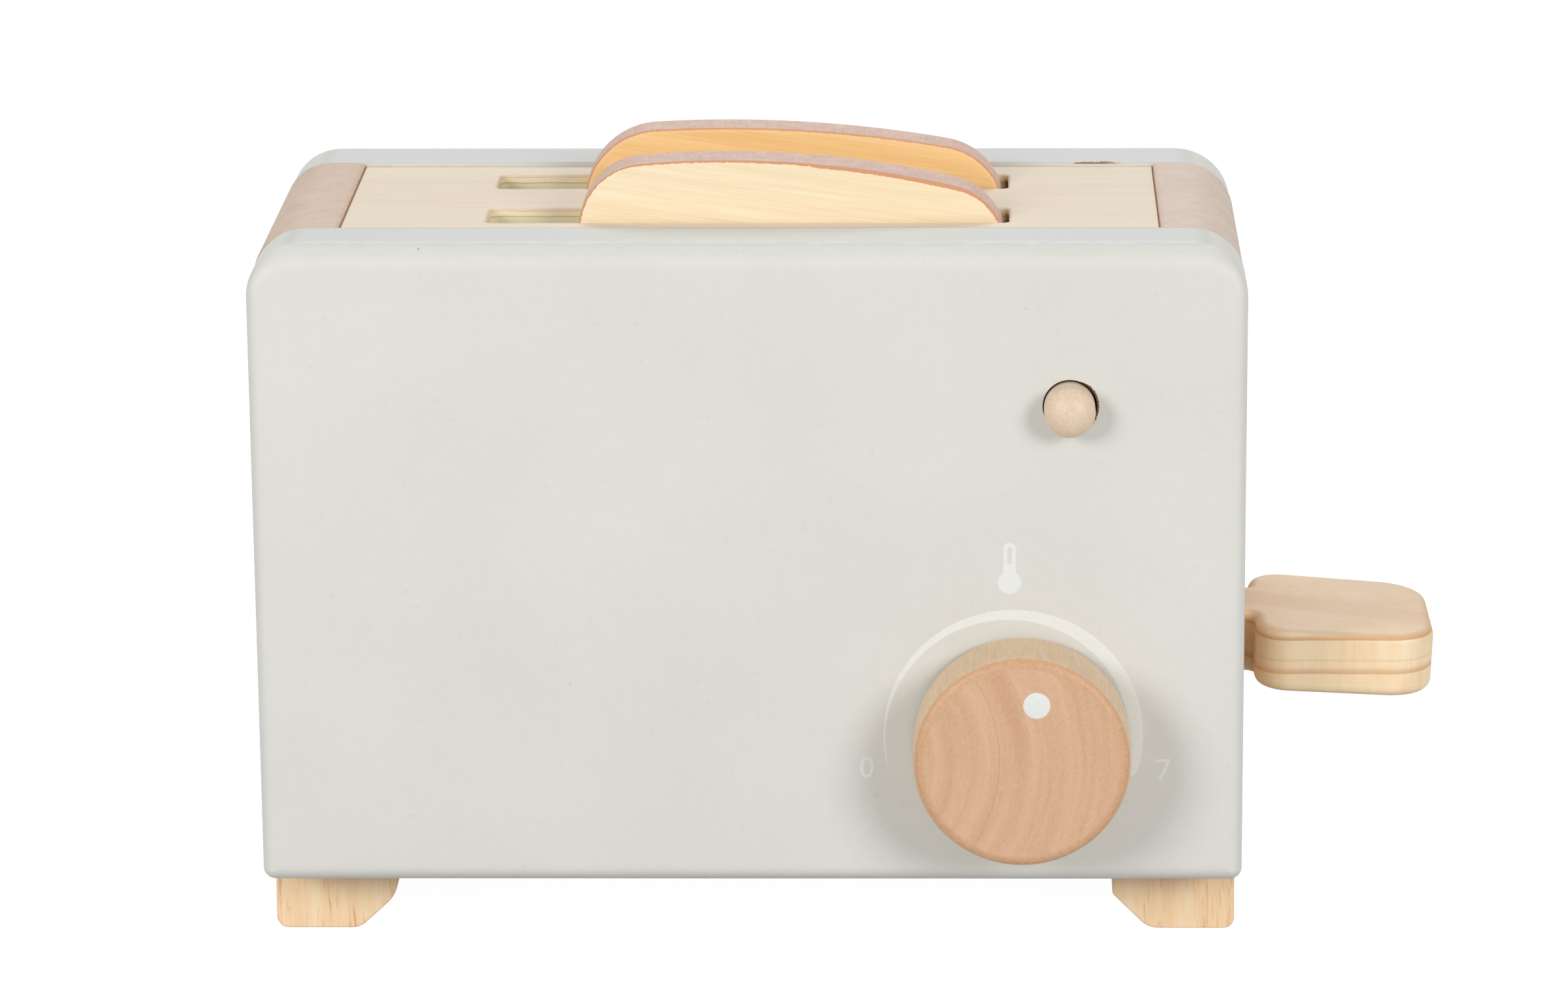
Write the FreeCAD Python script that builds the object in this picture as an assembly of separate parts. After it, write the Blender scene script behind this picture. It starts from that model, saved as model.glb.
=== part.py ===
import FreeCAD, Part
import math
import os

# A wooden toy toaster: a lever lowers the bread, a button releases its latch, and a knob turns.
# Sizes are in millimetres. X runs to the lever, Y from front to back and Z up from the table.
# The model is built round the middle of the case, and moved to the origin at the end.

V = FreeCAD.Vector
LEFT = -1
RIGHT = 1
FRONT = -1
BACK = 1

# case
case_w = 185.0             # panels, side to side
panel_h = 123.5
panel_t = 15.2
cavity_d = 58.5            # between the panels' inner faces
panel_top_r = 10.0         # corners of the panels, seen from the front
panel_bottom_r = 3.6
panel_round = 3.0          # rounded edge of each outer face
block_t = 15.1
block_inset = 0.8          # block's outer face behind the panels' edges
block_drop = 0.2           # block's top below the panels' top
block_top_r = 10.2
block_soft_r = 1.3         # softened inner edge of the block's top
foot_h = 14.0
foot_w = 23.6
foot_side_h = 7.2          # upright part of the foot's inner side
foot_slant_w = 6.0
foot_side_r = 1.6          # corner between upright and slant
foot_slant_r = 3.4         # corner between slant and sole
foot_toe_r = 2.8
edge_break = 0.5           # sanded edges
joint_gap = 0.05           # glue line between boards that are let in
over = 1.0                 # cutters run past the faces by this

# top board and its bread slots
board_t = 7.0
board_drop = 0.9           # board's face below the panels' top
slot_left_margin = 26.85   # from the left end block to the slots
slot_right_margin = 27.75  # the latch has its place at this end
slot_w = 12.2
slot_pitch = 29.7
slot_r = 1.0
cleat = 8.0

# base, guide rods and lift springs
base_t = 6.0
rod_d = 5.0
rod_tongue_gap = 12.0      # right rod's axis from the lever's tongue; the left rod mirrors it
rod_seat = 4.0             # rod's depth in the base; its top meets the top board
rod_fit = 0.02             # radial, glued
lift_coil_d = 10.6         # outside
lift_wire_d = 1.2
lift_turns = 4
coil_steps = 8             # straight bends of the wire in each turn
wire_sides = 4
coil_gap = 0.1             # between the closed turns

# carriage: the springs push it up until the lever's neck meets the top of its slot, so that end stays lower
sag = 2.7                  # degrees
travel = 24.0              # down to the bottom stop
guide_play = 0.15          # radial
shelf_end_gap = 7.6        # to the right end block
shelf_side_gap = 6.8       # to each panel
shelf_end_wood = 4.0       # left of the grooves
shelf_t = 9.0
groove_depth = 4.0
groove_play = 0.5          # beside the slice, each side
groove_over = 0.4          # a groove is longer than the slot over it, at each end

# lever
lever_z = 41.3             # its middle above the panels' lower edge, at X = 0
lever_t = 12.6
paddle_gap = 2.9           # from the panels' edges
paddle_l = 34.7
paddle_d = 39.8
paddle_r = 6.6
paddle_big_r = 9.5         # outer back corner
paddle_bevel = 1.4         # sanded edges
neck_w = 15.6
neck_y = 1.6               # neck's middle behind the paddle's
neck_r = 2.6               # inside corners between neck and paddle
tongue_l = 27.0            # under the shelf
neck_play = 1.0            # beside the neck in the end block's slot, each side
end_play = 0.3             # above and below the neck at the ends of its travel
neck_slot_r = 2.0

# bread slices, seen from the front: two shoulders joined by a flat crown
slice_t = 9.0
slice_left_gap = 13.8      # to the slot's end
slice_right_gap = 4.2
slice_shoulder_z = 120.4   # middle of the left shoulder's arc above the panels' lower edge
slice_shoulder_r = 12.5
slice_low_shoulder_z = 118.5
slice_low_shoulder_r = 13.2
slice_crown_r = 183.5
slice_foot_r = 7.0
slice_gap = 0.05           # under the slice

# button
button_slot_gap = 10.5     # hole's middle from the slots' right end
button_z = 93.1            # hole's middle above the panels' lower edge
button_hole_d = 10.4
button_d = 9.6
button_drop = 0.3          # the button lies low in its hole
button_press = 3.0
button_show = 4.2          # it still stands out of the panel when it is pressed
flange_d = 14.0
flange_t = 2.0
flange_gap = 2.5           # from the panel at rest: it goes back this far when the latch is in
nub_d = 4.0
nub_l = 3.0
nub_gap = 0.4              # to the latch lever

# latch
latch_arm = 14.6           # from the pin up to the button's axis
latch_nose_arm = 15.5      # from the pin down to the underside of the nose
latch_t = 5.0
latch_w = 8.0
latch_boss_d = 8.0
latch_top = 5.5            # above the button's axis
nose_h = 5.6
nose_tip_h = 1.4
nose_l = 4.8
latch_round = 1.2
latch_pin_d = 3.0
pin_play = 0.05            # radial, running
pin_fit = 0.02             # radial, driven in
cheek_t = 3.6
cheek_h = 9.0
cheek_play = 0.3           # beside the latch lever, each side
web_t = 1.5                # wood in front of the notch
plate_t = 1.5
plate_w = 15.0
plate_gap = 0.25           # nose to plate
plate_seat = 6.0           # its depth in the shelf
plate_corner = 3.0
plate_over = 5.0           # plate above its window
latch_drop = 23.0          # the carriage is held this far down
window_w = 9.6
window_h = 6.4
latch_coil_d = 5.2
latch_wire_d = 0.6
latch_turns = 6
latch_pocket_d = 6.4
latch_pocket = 6.0
latch_spring_arm = 12.0    # from the pin down to the spring's axis

# knob
knob_side_gap = 41.66      # its middle from the panel's right edge
knob_z = 28.57
knob_r = 20.3
knob_t = 14.2
knob_bevel = 1.4
knob_gap = 0.8             # to the panel
axle_d = 8.0
axle_play = 0.08           # radial, running
axle_in_knob = 10.0
glue_room = 0.5            # beyond the axle in the knob's bore
axle_end = 5.4             # behind the panel
cross_pin_d = 3.0
cross_pin_l = 17.0
cross_pin_gap = 0.25       # end play of the knob

# fasteners
screw_d = 3.0
screw_head_d = 5.6
screw_head_h = 1.6
pilot_gap = 0.03           # radial, round each screw
screw_room = 0.9           # pilot hole beyond a screw's tip
lever_screw_l = 17.5       # under the head

# worked out
floor = foot_h                                   # panels' lower edge
ceiling = floor + panel_h
case_d = cavity_d + 2 * panel_t
inner_y = cavity_d / 2
front_y = -case_d / 2
block_out = case_w / 2 - block_inset
block_in = block_out - block_t
slot_left = slot_left_margin - block_in
slot_right = block_in - slot_right_margin
board_z = ceiling - board_drop - board_t         # underside of the top board
base_z = floor + base_t
bar_z = floor + lever_z
shelf_z = bar_z + lever_t / 2
shelf_top = shelf_z + shelf_t
slice_z = shelf_top - groove_depth + slice_gap
slice_left = slot_left + slice_left_gap
slice_right = slot_right - slice_right_gap
groove_left = slot_left - groove_over
groove_right = slot_right + groove_over
shelf_left = groove_left - shelf_end_wood
shelf_right = block_in - shelf_end_gap
tongue_in = shelf_right - tongue_l
rod_x = tongue_in - rod_tongue_gap               # right rod
paddle_in = case_w / 2 + paddle_gap
paddle_out = paddle_in + paddle_l
sag_sin = math.sin(math.radians(sag))
sag_cos = math.cos(math.radians(sag))
button_x = slot_right + button_slot_gap
button_axis = floor + button_z - button_drop
button_tip = front_y - button_show - button_press
pin_z = button_axis - latch_arm
nub_y = -inner_y + flange_gap + flange_t + nub_l
latch_spring_z = pin_z - latch_spring_arm
latch_y = nub_y + nub_gap                        # latch lever's front face
pin_y = latch_y + latch_t / 2
nose_y = latch_y + latch_t + nose_l
nose_z = pin_z - latch_nose_arm
plate_y = nose_y + plate_gap                     # latch plate's front face
knob_x = case_w / 2 - knob_side_gap
knob_axis = floor + knob_z
knob_back = front_y - knob_gap
cross_pin_y = -inner_y + cross_pin_gap + cross_pin_d / 2


def rounded(corners, at):
    """Closed wire through corners (u, v, radius), with tangent arcs. at() places a point of it."""
    edges = []
    ends = []
    count = len(corners)
    for i in range(count):
        u, v, radius = corners[i]
        here = V(u, v, 0)
        before = V(*corners[i - 1][:2], 0) - here
        after = V(*corners[(i + 1) % count][:2], 0) - here
        before.normalize()
        after.normalize()
        half = before.getAngle(after) / 2
        reach = radius / math.tan(half)
        start = here + before * reach
        end = here + after * reach
        if radius > 0:
            inward = before + after
            inward.normalize()
            middle = here + inward * (radius / math.sin(half) - radius)
            edges.append(Part.Arc(at(*start[:2]), at(*middle[:2]), at(*end[:2])).toShape())
        ends.append((start, end))
    for i in range(count):
        start = ends[i - 1][1]
        end = ends[i][0]
        if start.distanceToPoint(end) > 1e-6:
            edges.append(Part.LineSegment(at(*start[:2]), at(*end[:2])).toShape())
    return Part.Wire(Part.__sortEdges__(edges))


def upright(corners, y, depth):
    """A board seen from the front: the outline is in X and Z."""
    return Part.Face(rounded(corners, lambda u, v: V(u, y, v))).extrude(V(0, depth, 0))


def lying(corners, z, height):
    """A board seen from above: the outline is in X and Y."""
    return Part.Face(rounded(corners, lambda u, v: V(u, v, z))).extrude(V(0, 0, height))


def sideways(corners, x, width):
    """A board seen from the side: the outline is in Y and Z."""
    return Part.Face(rounded(corners, lambda u, v: V(x, u, v))).extrude(V(width, 0, 0))


def rectangle(low_u, low_v, high_u, high_v, radius=0.0):
    places = [(low_u, low_v), (high_u, low_v), (high_u, high_v), (low_u, high_v)]
    return [(u, v, radius) for u, v in places]


def rod(diameter, start, end):
    along = V(*end) - V(*start)
    return Part.makeCylinder(diameter / 2, along.Length, V(*start), along)


def turned(corners, base, axis):
    """A turned piece: its outline (radius, height) is spun about an axis that starts at base."""
    face = Part.Face(rounded(corners, lambda u, v: V(u, 0, v)))
    solid = face.revolve(V(0, 0, 0), V(0, 0, 1), 360)
    solid.Placement = FreeCAD.Placement(V(*base), FreeCAD.Rotation(V(0, 0, 1), V(*axis)))
    return solid


def soften(solid, radius, chosen):
    """Rounds the edges for which chosen(edge's box) holds."""
    edges = [e for e in solid.Edges if chosen(e.BoundBox)]
    return solid.makeFillet(radius, edges)


def in_plane(low, high, value):
    return abs(low - value) < 1e-4 and abs(high - value) < 1e-4


def bevel(solid, depth, chosen):
    """Chamfers the edges for which chosen(edge's box) holds."""
    edges = [e for e in solid.Edges if chosen(e.BoundBox)]
    return solid.makeChamfer(depth, edges)


def screw(seat, axis, length):
    """Pan head wood screw: seat is the middle of its head's underside, and axis points to the tip."""
    start = V(*seat)
    along = V(*axis)
    head = rod(screw_head_d, start - along * screw_head_h, start)
    return head.fuse(rod(screw_d, start, start + along * length))


def screw_hole(seat, axis, length, head_room=0.0):
    """Hole for a screw's shank, with a wider one for its head where that is sunk in."""
    start = V(*seat)
    along = V(*axis)
    hole = rod(screw_d + 2 * pilot_gap, start, start + along * (length + screw_room))
    if head_room > 0:
        hole = hole.fuse(rod(screw_head_d + 2 * pilot_gap, start - along * head_room, start))
    return hole


def coil(outer_d, wire_d, length, turns, base, axis):
    """Compression spring with a closed turn at each end, bent in short straight steps."""
    radius = (outer_d - wire_d) / 2
    closed = wire_d + coil_gap
    pitch = (length - wire_d - 2 * closed) / turns
    z = wire_d / 2
    points = []
    for i in range(coil_steps * (turns + 2) + 1):
        angle = 2 * math.pi * i / coil_steps
        points.append(V(radius * math.cos(angle), radius * math.sin(angle), z))
        in_closed = i < coil_steps or i >= coil_steps * (turns + 1)
        z += (closed if in_closed else pitch) / coil_steps
    first = points[1] - points[0]
    across = V(1, 0, 0)
    up = first.cross(across)
    up.normalize()
    corners = []
    for k in range(wire_sides + 1):
        angle = 2 * math.pi * k / wire_sides
        corners.append(points[0] + (across * math.cos(angle) + up * math.sin(angle)) * (wire_d / 2))
    path = Part.makePolygon(points)
    spring = path.makePipeShell([Part.makePolygon(corners)], True, False, 1)
    spring.Placement = FreeCAD.Placement(V(*base), FreeCAD.Rotation(V(0, 0, 1), V(*axis)))
    return spring


def on_carriage(shape):
    """Leans a piece of the carriage: the right end goes down."""
    leaning = shape.copy()
    leaning.rotate(V(0, 0, bar_z), V(0, 1, 0), sag)
    return leaning


def level_place(x, z):
    """Where a point (x, z) of the leaning carriage lies before it leans."""
    up = z - bar_z
    return x * sag_cos - up * sag_sin, x * sag_sin + up * sag_cos + bar_z


def bar_edge(x, side):
    """Height of the leaning lever's upper (1) or lower (-1) face at x."""
    return bar_z + side * lever_t / 2 / sag_cos - x * sag_sin / sag_cos


# case

def panel(face):
    """Front or back board, with its outer face rounded all round."""
    half = case_w / 2
    outline = [
        (-half, floor, panel_bottom_r),
        (half, floor, panel_bottom_r),
        (half, ceiling, panel_top_r),
        (-half, ceiling, panel_top_r),
    ]
    outer = face * case_d / 2
    inner = face * inner_y
    board = upright(outline, min(outer, inner), panel_t)
    return soften(board, panel_round, lambda b: in_plane(b.YMin, b.YMax, outer))


def through_front(diameter, x, z, start):
    """Drill from start, a Y, to the front panel's inner face."""
    return rod(diameter, (x, start, z), (x, -inner_y + over, z))


def front_panel():
    """It holds the button and the knob's axle, and has a pocket for the latch's spring."""
    board = panel(FRONT)
    outside = front_y - over
    board = board.cut(through_front(button_hole_d, button_x, floor + button_z, outside))
    board = board.cut(through_front(axle_d + 2 * axle_play, knob_x, knob_axis, outside))
    return board.cut(through_front(latch_pocket_d, button_x, latch_spring_z, -inner_y - latch_pocket))


def back_panel():
    return panel(BACK)


def neck_slot():
    """The end block's slot for the neck: as high as the neck's travel."""
    half = neck_w / 2 + neck_play
    low = bar_edge(block_out, -1) - travel - end_play
    high = bar_edge(block_in, 1) + end_play
    outline = rectangle(neck_y - half, low, neck_y + half, high, neck_slot_r)
    return sideways(outline, block_in - over, block_t + 2 * over)


def end_block(end):
    top = ceiling - block_drop
    outline = [
        (block_in, floor, 0),
        (block_out, floor, 0),
        (block_out, top, block_top_r),
        (block_in, top, block_soft_r),
    ]
    if end == LEFT:
        outline = [(-x, z, r) for x, z, r in reversed(outline)]
    return upright(outline, -inner_y, cavity_d)


def left_end_block():
    return end_block(LEFT)


def right_end_block():
    return end_block(RIGHT).cut(neck_slot())


def top_board():
    """Plywood board with two bread slots."""
    half_w = block_in - joint_gap
    half_d = inner_y - joint_gap
    board = lying(rectangle(-half_w, -half_d, half_w, half_d), board_z, board_t)
    for face in (FRONT, BACK):
        low = slice_y(face) - slot_w / 2
        slot = rectangle(slot_left, low, slot_right, low + slot_w, slot_r)
        board = board.cut(lying(slot, board_z - over, board_t + 2 * over))
    return board


def base_board():
    half_w = block_in - joint_gap
    half_d = inner_y - joint_gap
    board = lying(rectangle(-half_w, -half_d, half_w, half_d), floor, base_t)
    for side in (LEFT, RIGHT):
        board = board.cut(rod_hole(side))
    return board


def top_board_cleats():
    """Battens glued under the ends of the top board."""
    half = inner_y - joint_gap
    outline = rectangle(-half, board_z - cleat, half, board_z)
    return Part.makeCompound([sideways(outline, -block_in, cleat), sideways(outline, block_in - cleat, cleat)])


def foot(end):
    """Rail under an end block, slanted on its inner side."""
    inner = block_out - foot_w
    outline = [
        (block_out, floor, 0),
        (inner, floor, 0),
        (inner, floor - foot_side_h, foot_side_r),
        (inner + foot_slant_w, 0, foot_slant_r),
        (block_out, 0, foot_toe_r),
    ]
    return upright([(end * x, z, r) for x, z, r in outline], -inner_y, cavity_d)


def left_foot():
    return foot(LEFT)


def right_foot():
    return foot(RIGHT)


# guides and lift springs

def rod_hole(side):
    """Blind hole in the base."""
    low = base_z - rod_seat - rod_fit
    return rod(rod_d + 2 * rod_fit, (side * rod_x, 0, low), (side * rod_x, 0, base_z + over))


def guide_rod(side):
    return rod(rod_d, (side * rod_x, 0, base_z - rod_seat), (side * rod_x, 0, board_z - joint_gap))


def lift_spring(side):
    """Spring from the base to the lowest point of the shelf's leaning underside round the rod."""
    x = side * rod_x
    reach = x + lift_coil_d / 2
    under = bar_edge(reach, 1) - joint_gap
    return coil(lift_coil_d, lift_wire_d, under - base_z, lift_turns, (x, 0, base_z), (0, 0, 1))


def left_guide_rod():
    return guide_rod(LEFT)


def right_guide_rod():
    return guide_rod(RIGHT)


def left_lift_spring():
    return lift_spring(LEFT)


def right_lift_spring():
    return lift_spring(RIGHT)


# carriage

def slice_y(face):
    return face * slot_pitch / 2


def bread_shelf():
    """Carriage board with two stopped grooves that the slices stand in, and two guide holes."""
    half = inner_y - shelf_side_gap
    board = lying(rectangle(shelf_left, -half, shelf_right, half, edge_break), shelf_z, shelf_t)
    groove_w = slice_t + 2 * groove_play
    for face in (FRONT, BACK):
        low = slice_y(face) - groove_w / 2
        groove = rectangle(groove_left, low, groove_right, low + groove_w)
        board = board.cut(lying(groove, shelf_top - groove_depth, groove_depth + over))
    loose = rod_d + shelf_t * sag_sin + 2 * guide_play
    for side in (LEFT, RIGHT):
        x = level_place(side * rod_x, shelf_z + shelf_t / 2)[0]
        board = board.cut(rod(loose, (x, 0, shelf_z - over), (x, 0, shelf_top + over)))
    for head in lever_screw_heads():
        board = board.cut(screw_hole(head, (0, 0, 1), lever_screw_l))
    return on_carriage(board.cut(plate_kerf()))


def lever():
    """Paddle, neck and tongue from one piece. The tongue lies under the shelf."""
    low = bar_z - lever_t / 2
    half = paddle_d / 2
    neck_low = neck_y - neck_w / 2
    neck_high = neck_y + neck_w / 2
    neck_in = block_in + edge_break
    outline = [
        (neck_in, neck_low, 0),
        (paddle_in, neck_low, neck_r),
        (paddle_in, -half, paddle_r),
        (paddle_out, -half, paddle_r + 1),
        (paddle_out, half, paddle_big_r),
        (paddle_in, half, paddle_r),
        (paddle_in, neck_high, neck_r),
        (neck_in, neck_high, 0),
    ]
    paddle = lying(outline, low, lever_t)
    for face in (low, low + lever_t):
        edge = lambda b: in_plane(b.ZMin, b.ZMax, face) and b.XMax > neck_in + over
        paddle = bevel(paddle, paddle_bevel, edge)
    tongue = lying(rectangle(tongue_in, neck_low, block_out, neck_high), low, lever_t)
    whole = paddle.fuse(tongue).removeSplitter()
    for head in lever_screw_heads():
        whole = whole.cut(screw_hole(head, (0, 0, 1), lever_screw_l, screw_head_h + over))
    return on_carriage(whole)


def lever_screw_heads():
    """Undersides of the two heads, let into the tongue from below."""
    seat = bar_z - lever_t / 2 + screw_head_h
    inset = (shelf_right - tongue_in) / 4
    return [(tongue_in + inset, neck_y, seat), (shelf_right - inset, neck_y, seat)]


def lever_screws():
    screws = [screw(head, (0, 0, 1), lever_screw_l) for head in lever_screw_heads()]
    return on_carriage(Part.makeCompound(screws))


def window_place():
    """Middle and lower edge of the latch plate's window, before the carriage leans."""
    return level_place(button_x, nose_z + latch_drop)


def latch_plate():
    """Steel strip let into the shelf. When the carriage is down, the latch lever's nose is in its window."""
    x, low = window_place()
    top = low + window_h + plate_over
    left = x - plate_w / 2
    outline = rectangle(left, shelf_top - plate_seat, left + plate_w, top)
    outline[2] = (left + plate_w, top, plate_corner)
    outline[3] = (left, top, plate_corner)
    strip = upright(outline, plate_y, plate_t)
    window = rectangle(x - window_w / 2, low, x + window_w / 2, low + window_h)
    return on_carriage(strip.cut(upright(window, plate_y - over, plate_t + 2 * over)))


def plate_kerf():
    """The shelf's mortise for the latch plate."""
    x = window_place()[0]
    half = plate_w / 2 + pilot_gap
    low = shelf_top - plate_seat - pilot_gap
    outline = rectangle(x - half, low, x + half, shelf_top + over)
    return upright(outline, plate_y - pilot_gap, plate_t + 2 * pilot_gap)


# bread

def bread_slice(face):
    """Toast with two round shoulders. Its crown is the arc that touches both of them."""
    left = V(slice_left + slice_shoulder_r, 0, floor + slice_shoulder_z)
    right = V(slice_right - slice_low_shoulder_r, 0, floor + slice_low_shoulder_z)
    apart = right - left
    span = apart.Length
    to_left = slice_crown_r - slice_shoulder_r
    to_right = slice_crown_r - slice_low_shoulder_r
    along = (to_left ** 2 - to_right ** 2 + span ** 2) / (2 * span)
    down = math.sqrt(to_left ** 2 - along ** 2)
    apart.normalize()
    middle = left + apart * along + V(apart.z, 0, -apart.x) * down

    def on_arc(centre, radius, towards):
        towards.normalize()
        return centre + towards * radius

    crown_left = on_arc(left, slice_shoulder_r, left - middle)
    crown_right = on_arc(right, slice_low_shoulder_r, right - middle)
    crown_top = on_arc(middle, slice_crown_r, V(0, 0, 1))
    left_side = left + V(-slice_shoulder_r, 0, 0)
    right_side = right + V(slice_low_shoulder_r, 0, 0)
    left_mid = on_arc(left, slice_shoulder_r, crown_left + left_side - left * 2)
    right_mid = on_arc(right, slice_low_shoulder_r, crown_right + right_side - right * 2)
    turn = slice_foot_r * (1 - math.sqrt(0.5))
    low_left = V(slice_left, 0, slice_z)
    low_right = V(slice_right, 0, slice_z)
    r = slice_foot_r
    edges = [
        Part.Arc(left_side, left_mid, crown_left),
        Part.Arc(crown_left, crown_top, crown_right),
        Part.Arc(crown_right, right_mid, right_side),
        Part.LineSegment(right_side, low_right + V(0, 0, r)),
        Part.Arc(low_right + V(0, 0, r), low_right + V(-turn, 0, turn), low_right + V(-r, 0, 0)),
        Part.LineSegment(low_right + V(-r, 0, 0), low_left + V(r, 0, 0)),
        Part.Arc(low_left + V(r, 0, 0), low_left + V(turn, 0, turn), low_left + V(0, 0, r)),
        Part.LineSegment(low_left + V(0, 0, r), left_side),
    ]
    toast = Part.Face(Part.Wire([e.toShape() for e in edges])).extrude(V(0, slice_t, 0))
    toast.translate(V(0, slice_y(face) - slice_t / 2, 0))
    return on_carriage(toast)


def front_slice():
    return bread_slice(FRONT)


def back_slice():
    return bread_slice(BACK)


# button and latch

def button():
    """Turned from a dowel: domed outside, with a flange behind the panel and a nub that works the latch."""
    shank = -inner_y + flange_gap - button_tip
    flange_end = shank + flange_t
    length = nub_y - button_tip
    dome = button_d / 2
    outline = [
        (0, 0, 0),
        (dome * math.cos(math.pi / 4), dome * (1 - math.sin(math.pi / 4)), 0),
        (dome, dome, 0),
        (dome, shank, 0),
        (flange_d / 2, shank, 0),
        (flange_d / 2, flange_end, 0),
        (nub_d / 2, flange_end, 0),
        (nub_d / 2, length, 0),
        (0, length, 0),
    ]
    return turned(outline, (button_x, button_tip, button_axis), (0, 1, 0))


def latch_axis(diameter, half):
    """Rod on the latch's axis, reaching half to each side."""
    return rod(diameter, (button_x - half, pin_y, pin_z), (button_x + half, pin_y, pin_z))


def latch_lever():
    """Rocker on the pin: the button pushes its top back, and its nose comes forward out of the window."""
    top = button_axis + latch_top
    low = nose_z
    back = latch_y + latch_t
    outline = [
        (latch_y, low, 0),
        (nose_y, low, 0),
        (nose_y, low + nose_tip_h, 0),
        (back, low + nose_h, 0),
        (back, top, latch_round),
        (latch_y, top, latch_round),
    ]
    arm = sideways(outline, button_x - latch_w / 2, latch_w)
    whole = arm.fuse(latch_axis(latch_boss_d, latch_w / 2))
    return whole.cut(latch_axis(latch_pin_d + 2 * pin_play, latch_w / 2 + over)).removeSplitter()


def cheek_out():
    return latch_w / 2 + cheek_play + cheek_t


def latch_bracket():
    """Wooden block glued to the panel's inner face. The latch lever swings in its notch, on the pin."""
    low = pin_z - cheek_h / 2
    high = pin_z + cheek_h / 2
    out = cheek_out()
    back = pin_y + cheek_h / 2
    wall = -inner_y
    block = sideways(rectangle(wall, low, back, high), button_x - out, 2 * out)
    room = latch_w / 2 + cheek_play
    notch = sideways(rectangle(wall + web_t, low - over, back + over, high + over), button_x - room, 2 * room)
    return block.cut(notch).cut(latch_axis(latch_pin_d + 2 * pin_fit, out + over))


def latch_pin():
    return latch_axis(latch_pin_d, cheek_out())


def latch_spring():
    start = -inner_y - latch_pocket
    length = latch_y - joint_gap - start
    return coil(latch_coil_d, latch_wire_d, length, latch_turns, (button_x, start, latch_spring_z), (0, 1, 0))


# knob

def knob():
    """Turned disc with a bevelled rim and a blind bore for its axle."""
    outline = [
        (0, 0, 0),
        (knob_r, 0, 0),
        (knob_r, knob_t - knob_bevel, 0),
        (knob_r - knob_bevel, knob_t, 0),
        (0, knob_t, 0),
    ]
    disc = turned(outline, (knob_x, knob_back, knob_axis), (0, -1, 0))
    bore_end = knob_back - axle_in_knob - glue_room
    return disc.cut(on_knob_axis(axle_d + 2 * rod_fit, bore_end, knob_back + over))


def on_knob_axis(diameter, start, end):
    return rod(diameter, (knob_x, start, knob_axis), (knob_x, end, knob_axis))


def cross_pin(gap=0.0):
    reach = cross_pin_l / 2 + gap
    low = (knob_x, cross_pin_y, knob_axis - reach)
    high = (knob_x, cross_pin_y, knob_axis + reach)
    return rod(cross_pin_d + 2 * gap, low, high)


def knob_axle():
    return on_knob_axis(axle_d, knob_back - axle_in_knob, -inner_y + axle_end).cut(cross_pin(pin_fit))


def knob_cross_pin():
    """Peg through the axle's inner end that keeps the knob on the panel."""
    return cross_pin()


pieces = [
    front_panel,
    back_panel,
    left_end_block,
    right_end_block,
    top_board,
    base_board,
    top_board_cleats,
    left_foot,
    right_foot,
    left_guide_rod,
    right_guide_rod,
    left_lift_spring,
    right_lift_spring,
    bread_shelf,
    lever,
    lever_screws,
    latch_plate,
    front_slice,
    back_slice,
    button,
    latch_lever,
    latch_bracket,
    latch_pin,
    latch_spring,
    knob,
    knob_axle,
    knob_cross_pin,
]

shapes = {piece.__name__: piece() for piece in pieces}

# The origin is on the table, under the middle of the whole toaster with its lever and knob.
lever_end = paddle_out * sag_cos + lever_t / 2 * sag_sin
knob_front = knob_back - knob_t
origin = V((lever_end - case_w / 2) / 2, (knob_front + case_d / 2) / 2, 0)

os.makedirs("parts", exist_ok=True)
for name, shape in shapes.items():
    placed = shape.copy()
    placed.translate(V(0, 0, 0) - origin)
    placed.exportStep("parts/" + name + ".step")
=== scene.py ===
"""A toy toaster of painted and plain wood on a white table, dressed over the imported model."""
import math

import bmesh
import bpy
from mathutils import Matrix, Vector

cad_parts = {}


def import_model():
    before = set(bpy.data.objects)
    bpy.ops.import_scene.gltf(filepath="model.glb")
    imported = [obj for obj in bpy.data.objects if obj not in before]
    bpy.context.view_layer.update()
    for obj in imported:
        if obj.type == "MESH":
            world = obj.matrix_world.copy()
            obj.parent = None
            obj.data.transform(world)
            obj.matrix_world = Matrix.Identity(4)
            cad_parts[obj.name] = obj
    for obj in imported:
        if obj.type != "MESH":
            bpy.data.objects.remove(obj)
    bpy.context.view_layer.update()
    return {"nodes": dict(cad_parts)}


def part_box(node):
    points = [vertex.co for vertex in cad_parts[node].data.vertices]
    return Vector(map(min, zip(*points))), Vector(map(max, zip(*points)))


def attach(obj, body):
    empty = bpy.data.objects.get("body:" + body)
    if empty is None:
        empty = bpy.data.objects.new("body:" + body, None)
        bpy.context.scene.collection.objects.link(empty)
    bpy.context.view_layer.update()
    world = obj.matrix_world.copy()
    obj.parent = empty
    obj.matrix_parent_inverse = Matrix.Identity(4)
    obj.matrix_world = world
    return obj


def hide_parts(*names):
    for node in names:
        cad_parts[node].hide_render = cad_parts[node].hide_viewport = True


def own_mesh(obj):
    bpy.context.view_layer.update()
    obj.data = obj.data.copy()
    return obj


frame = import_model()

MM = 0.001

# Sizes in millimetres from the middle of the case and the soles of the feet
front_low, front_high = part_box("front_panel")
back_low, back_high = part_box("back_panel")
block_low, block_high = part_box("right_end_block")
board_low, board_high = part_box("top_board")
base_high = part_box("base_board")[1]
MIDDLE = Vector(((front_low.x + front_high.x) / 2, (front_low.y + back_high.y) / 2, 0.0))

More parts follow.
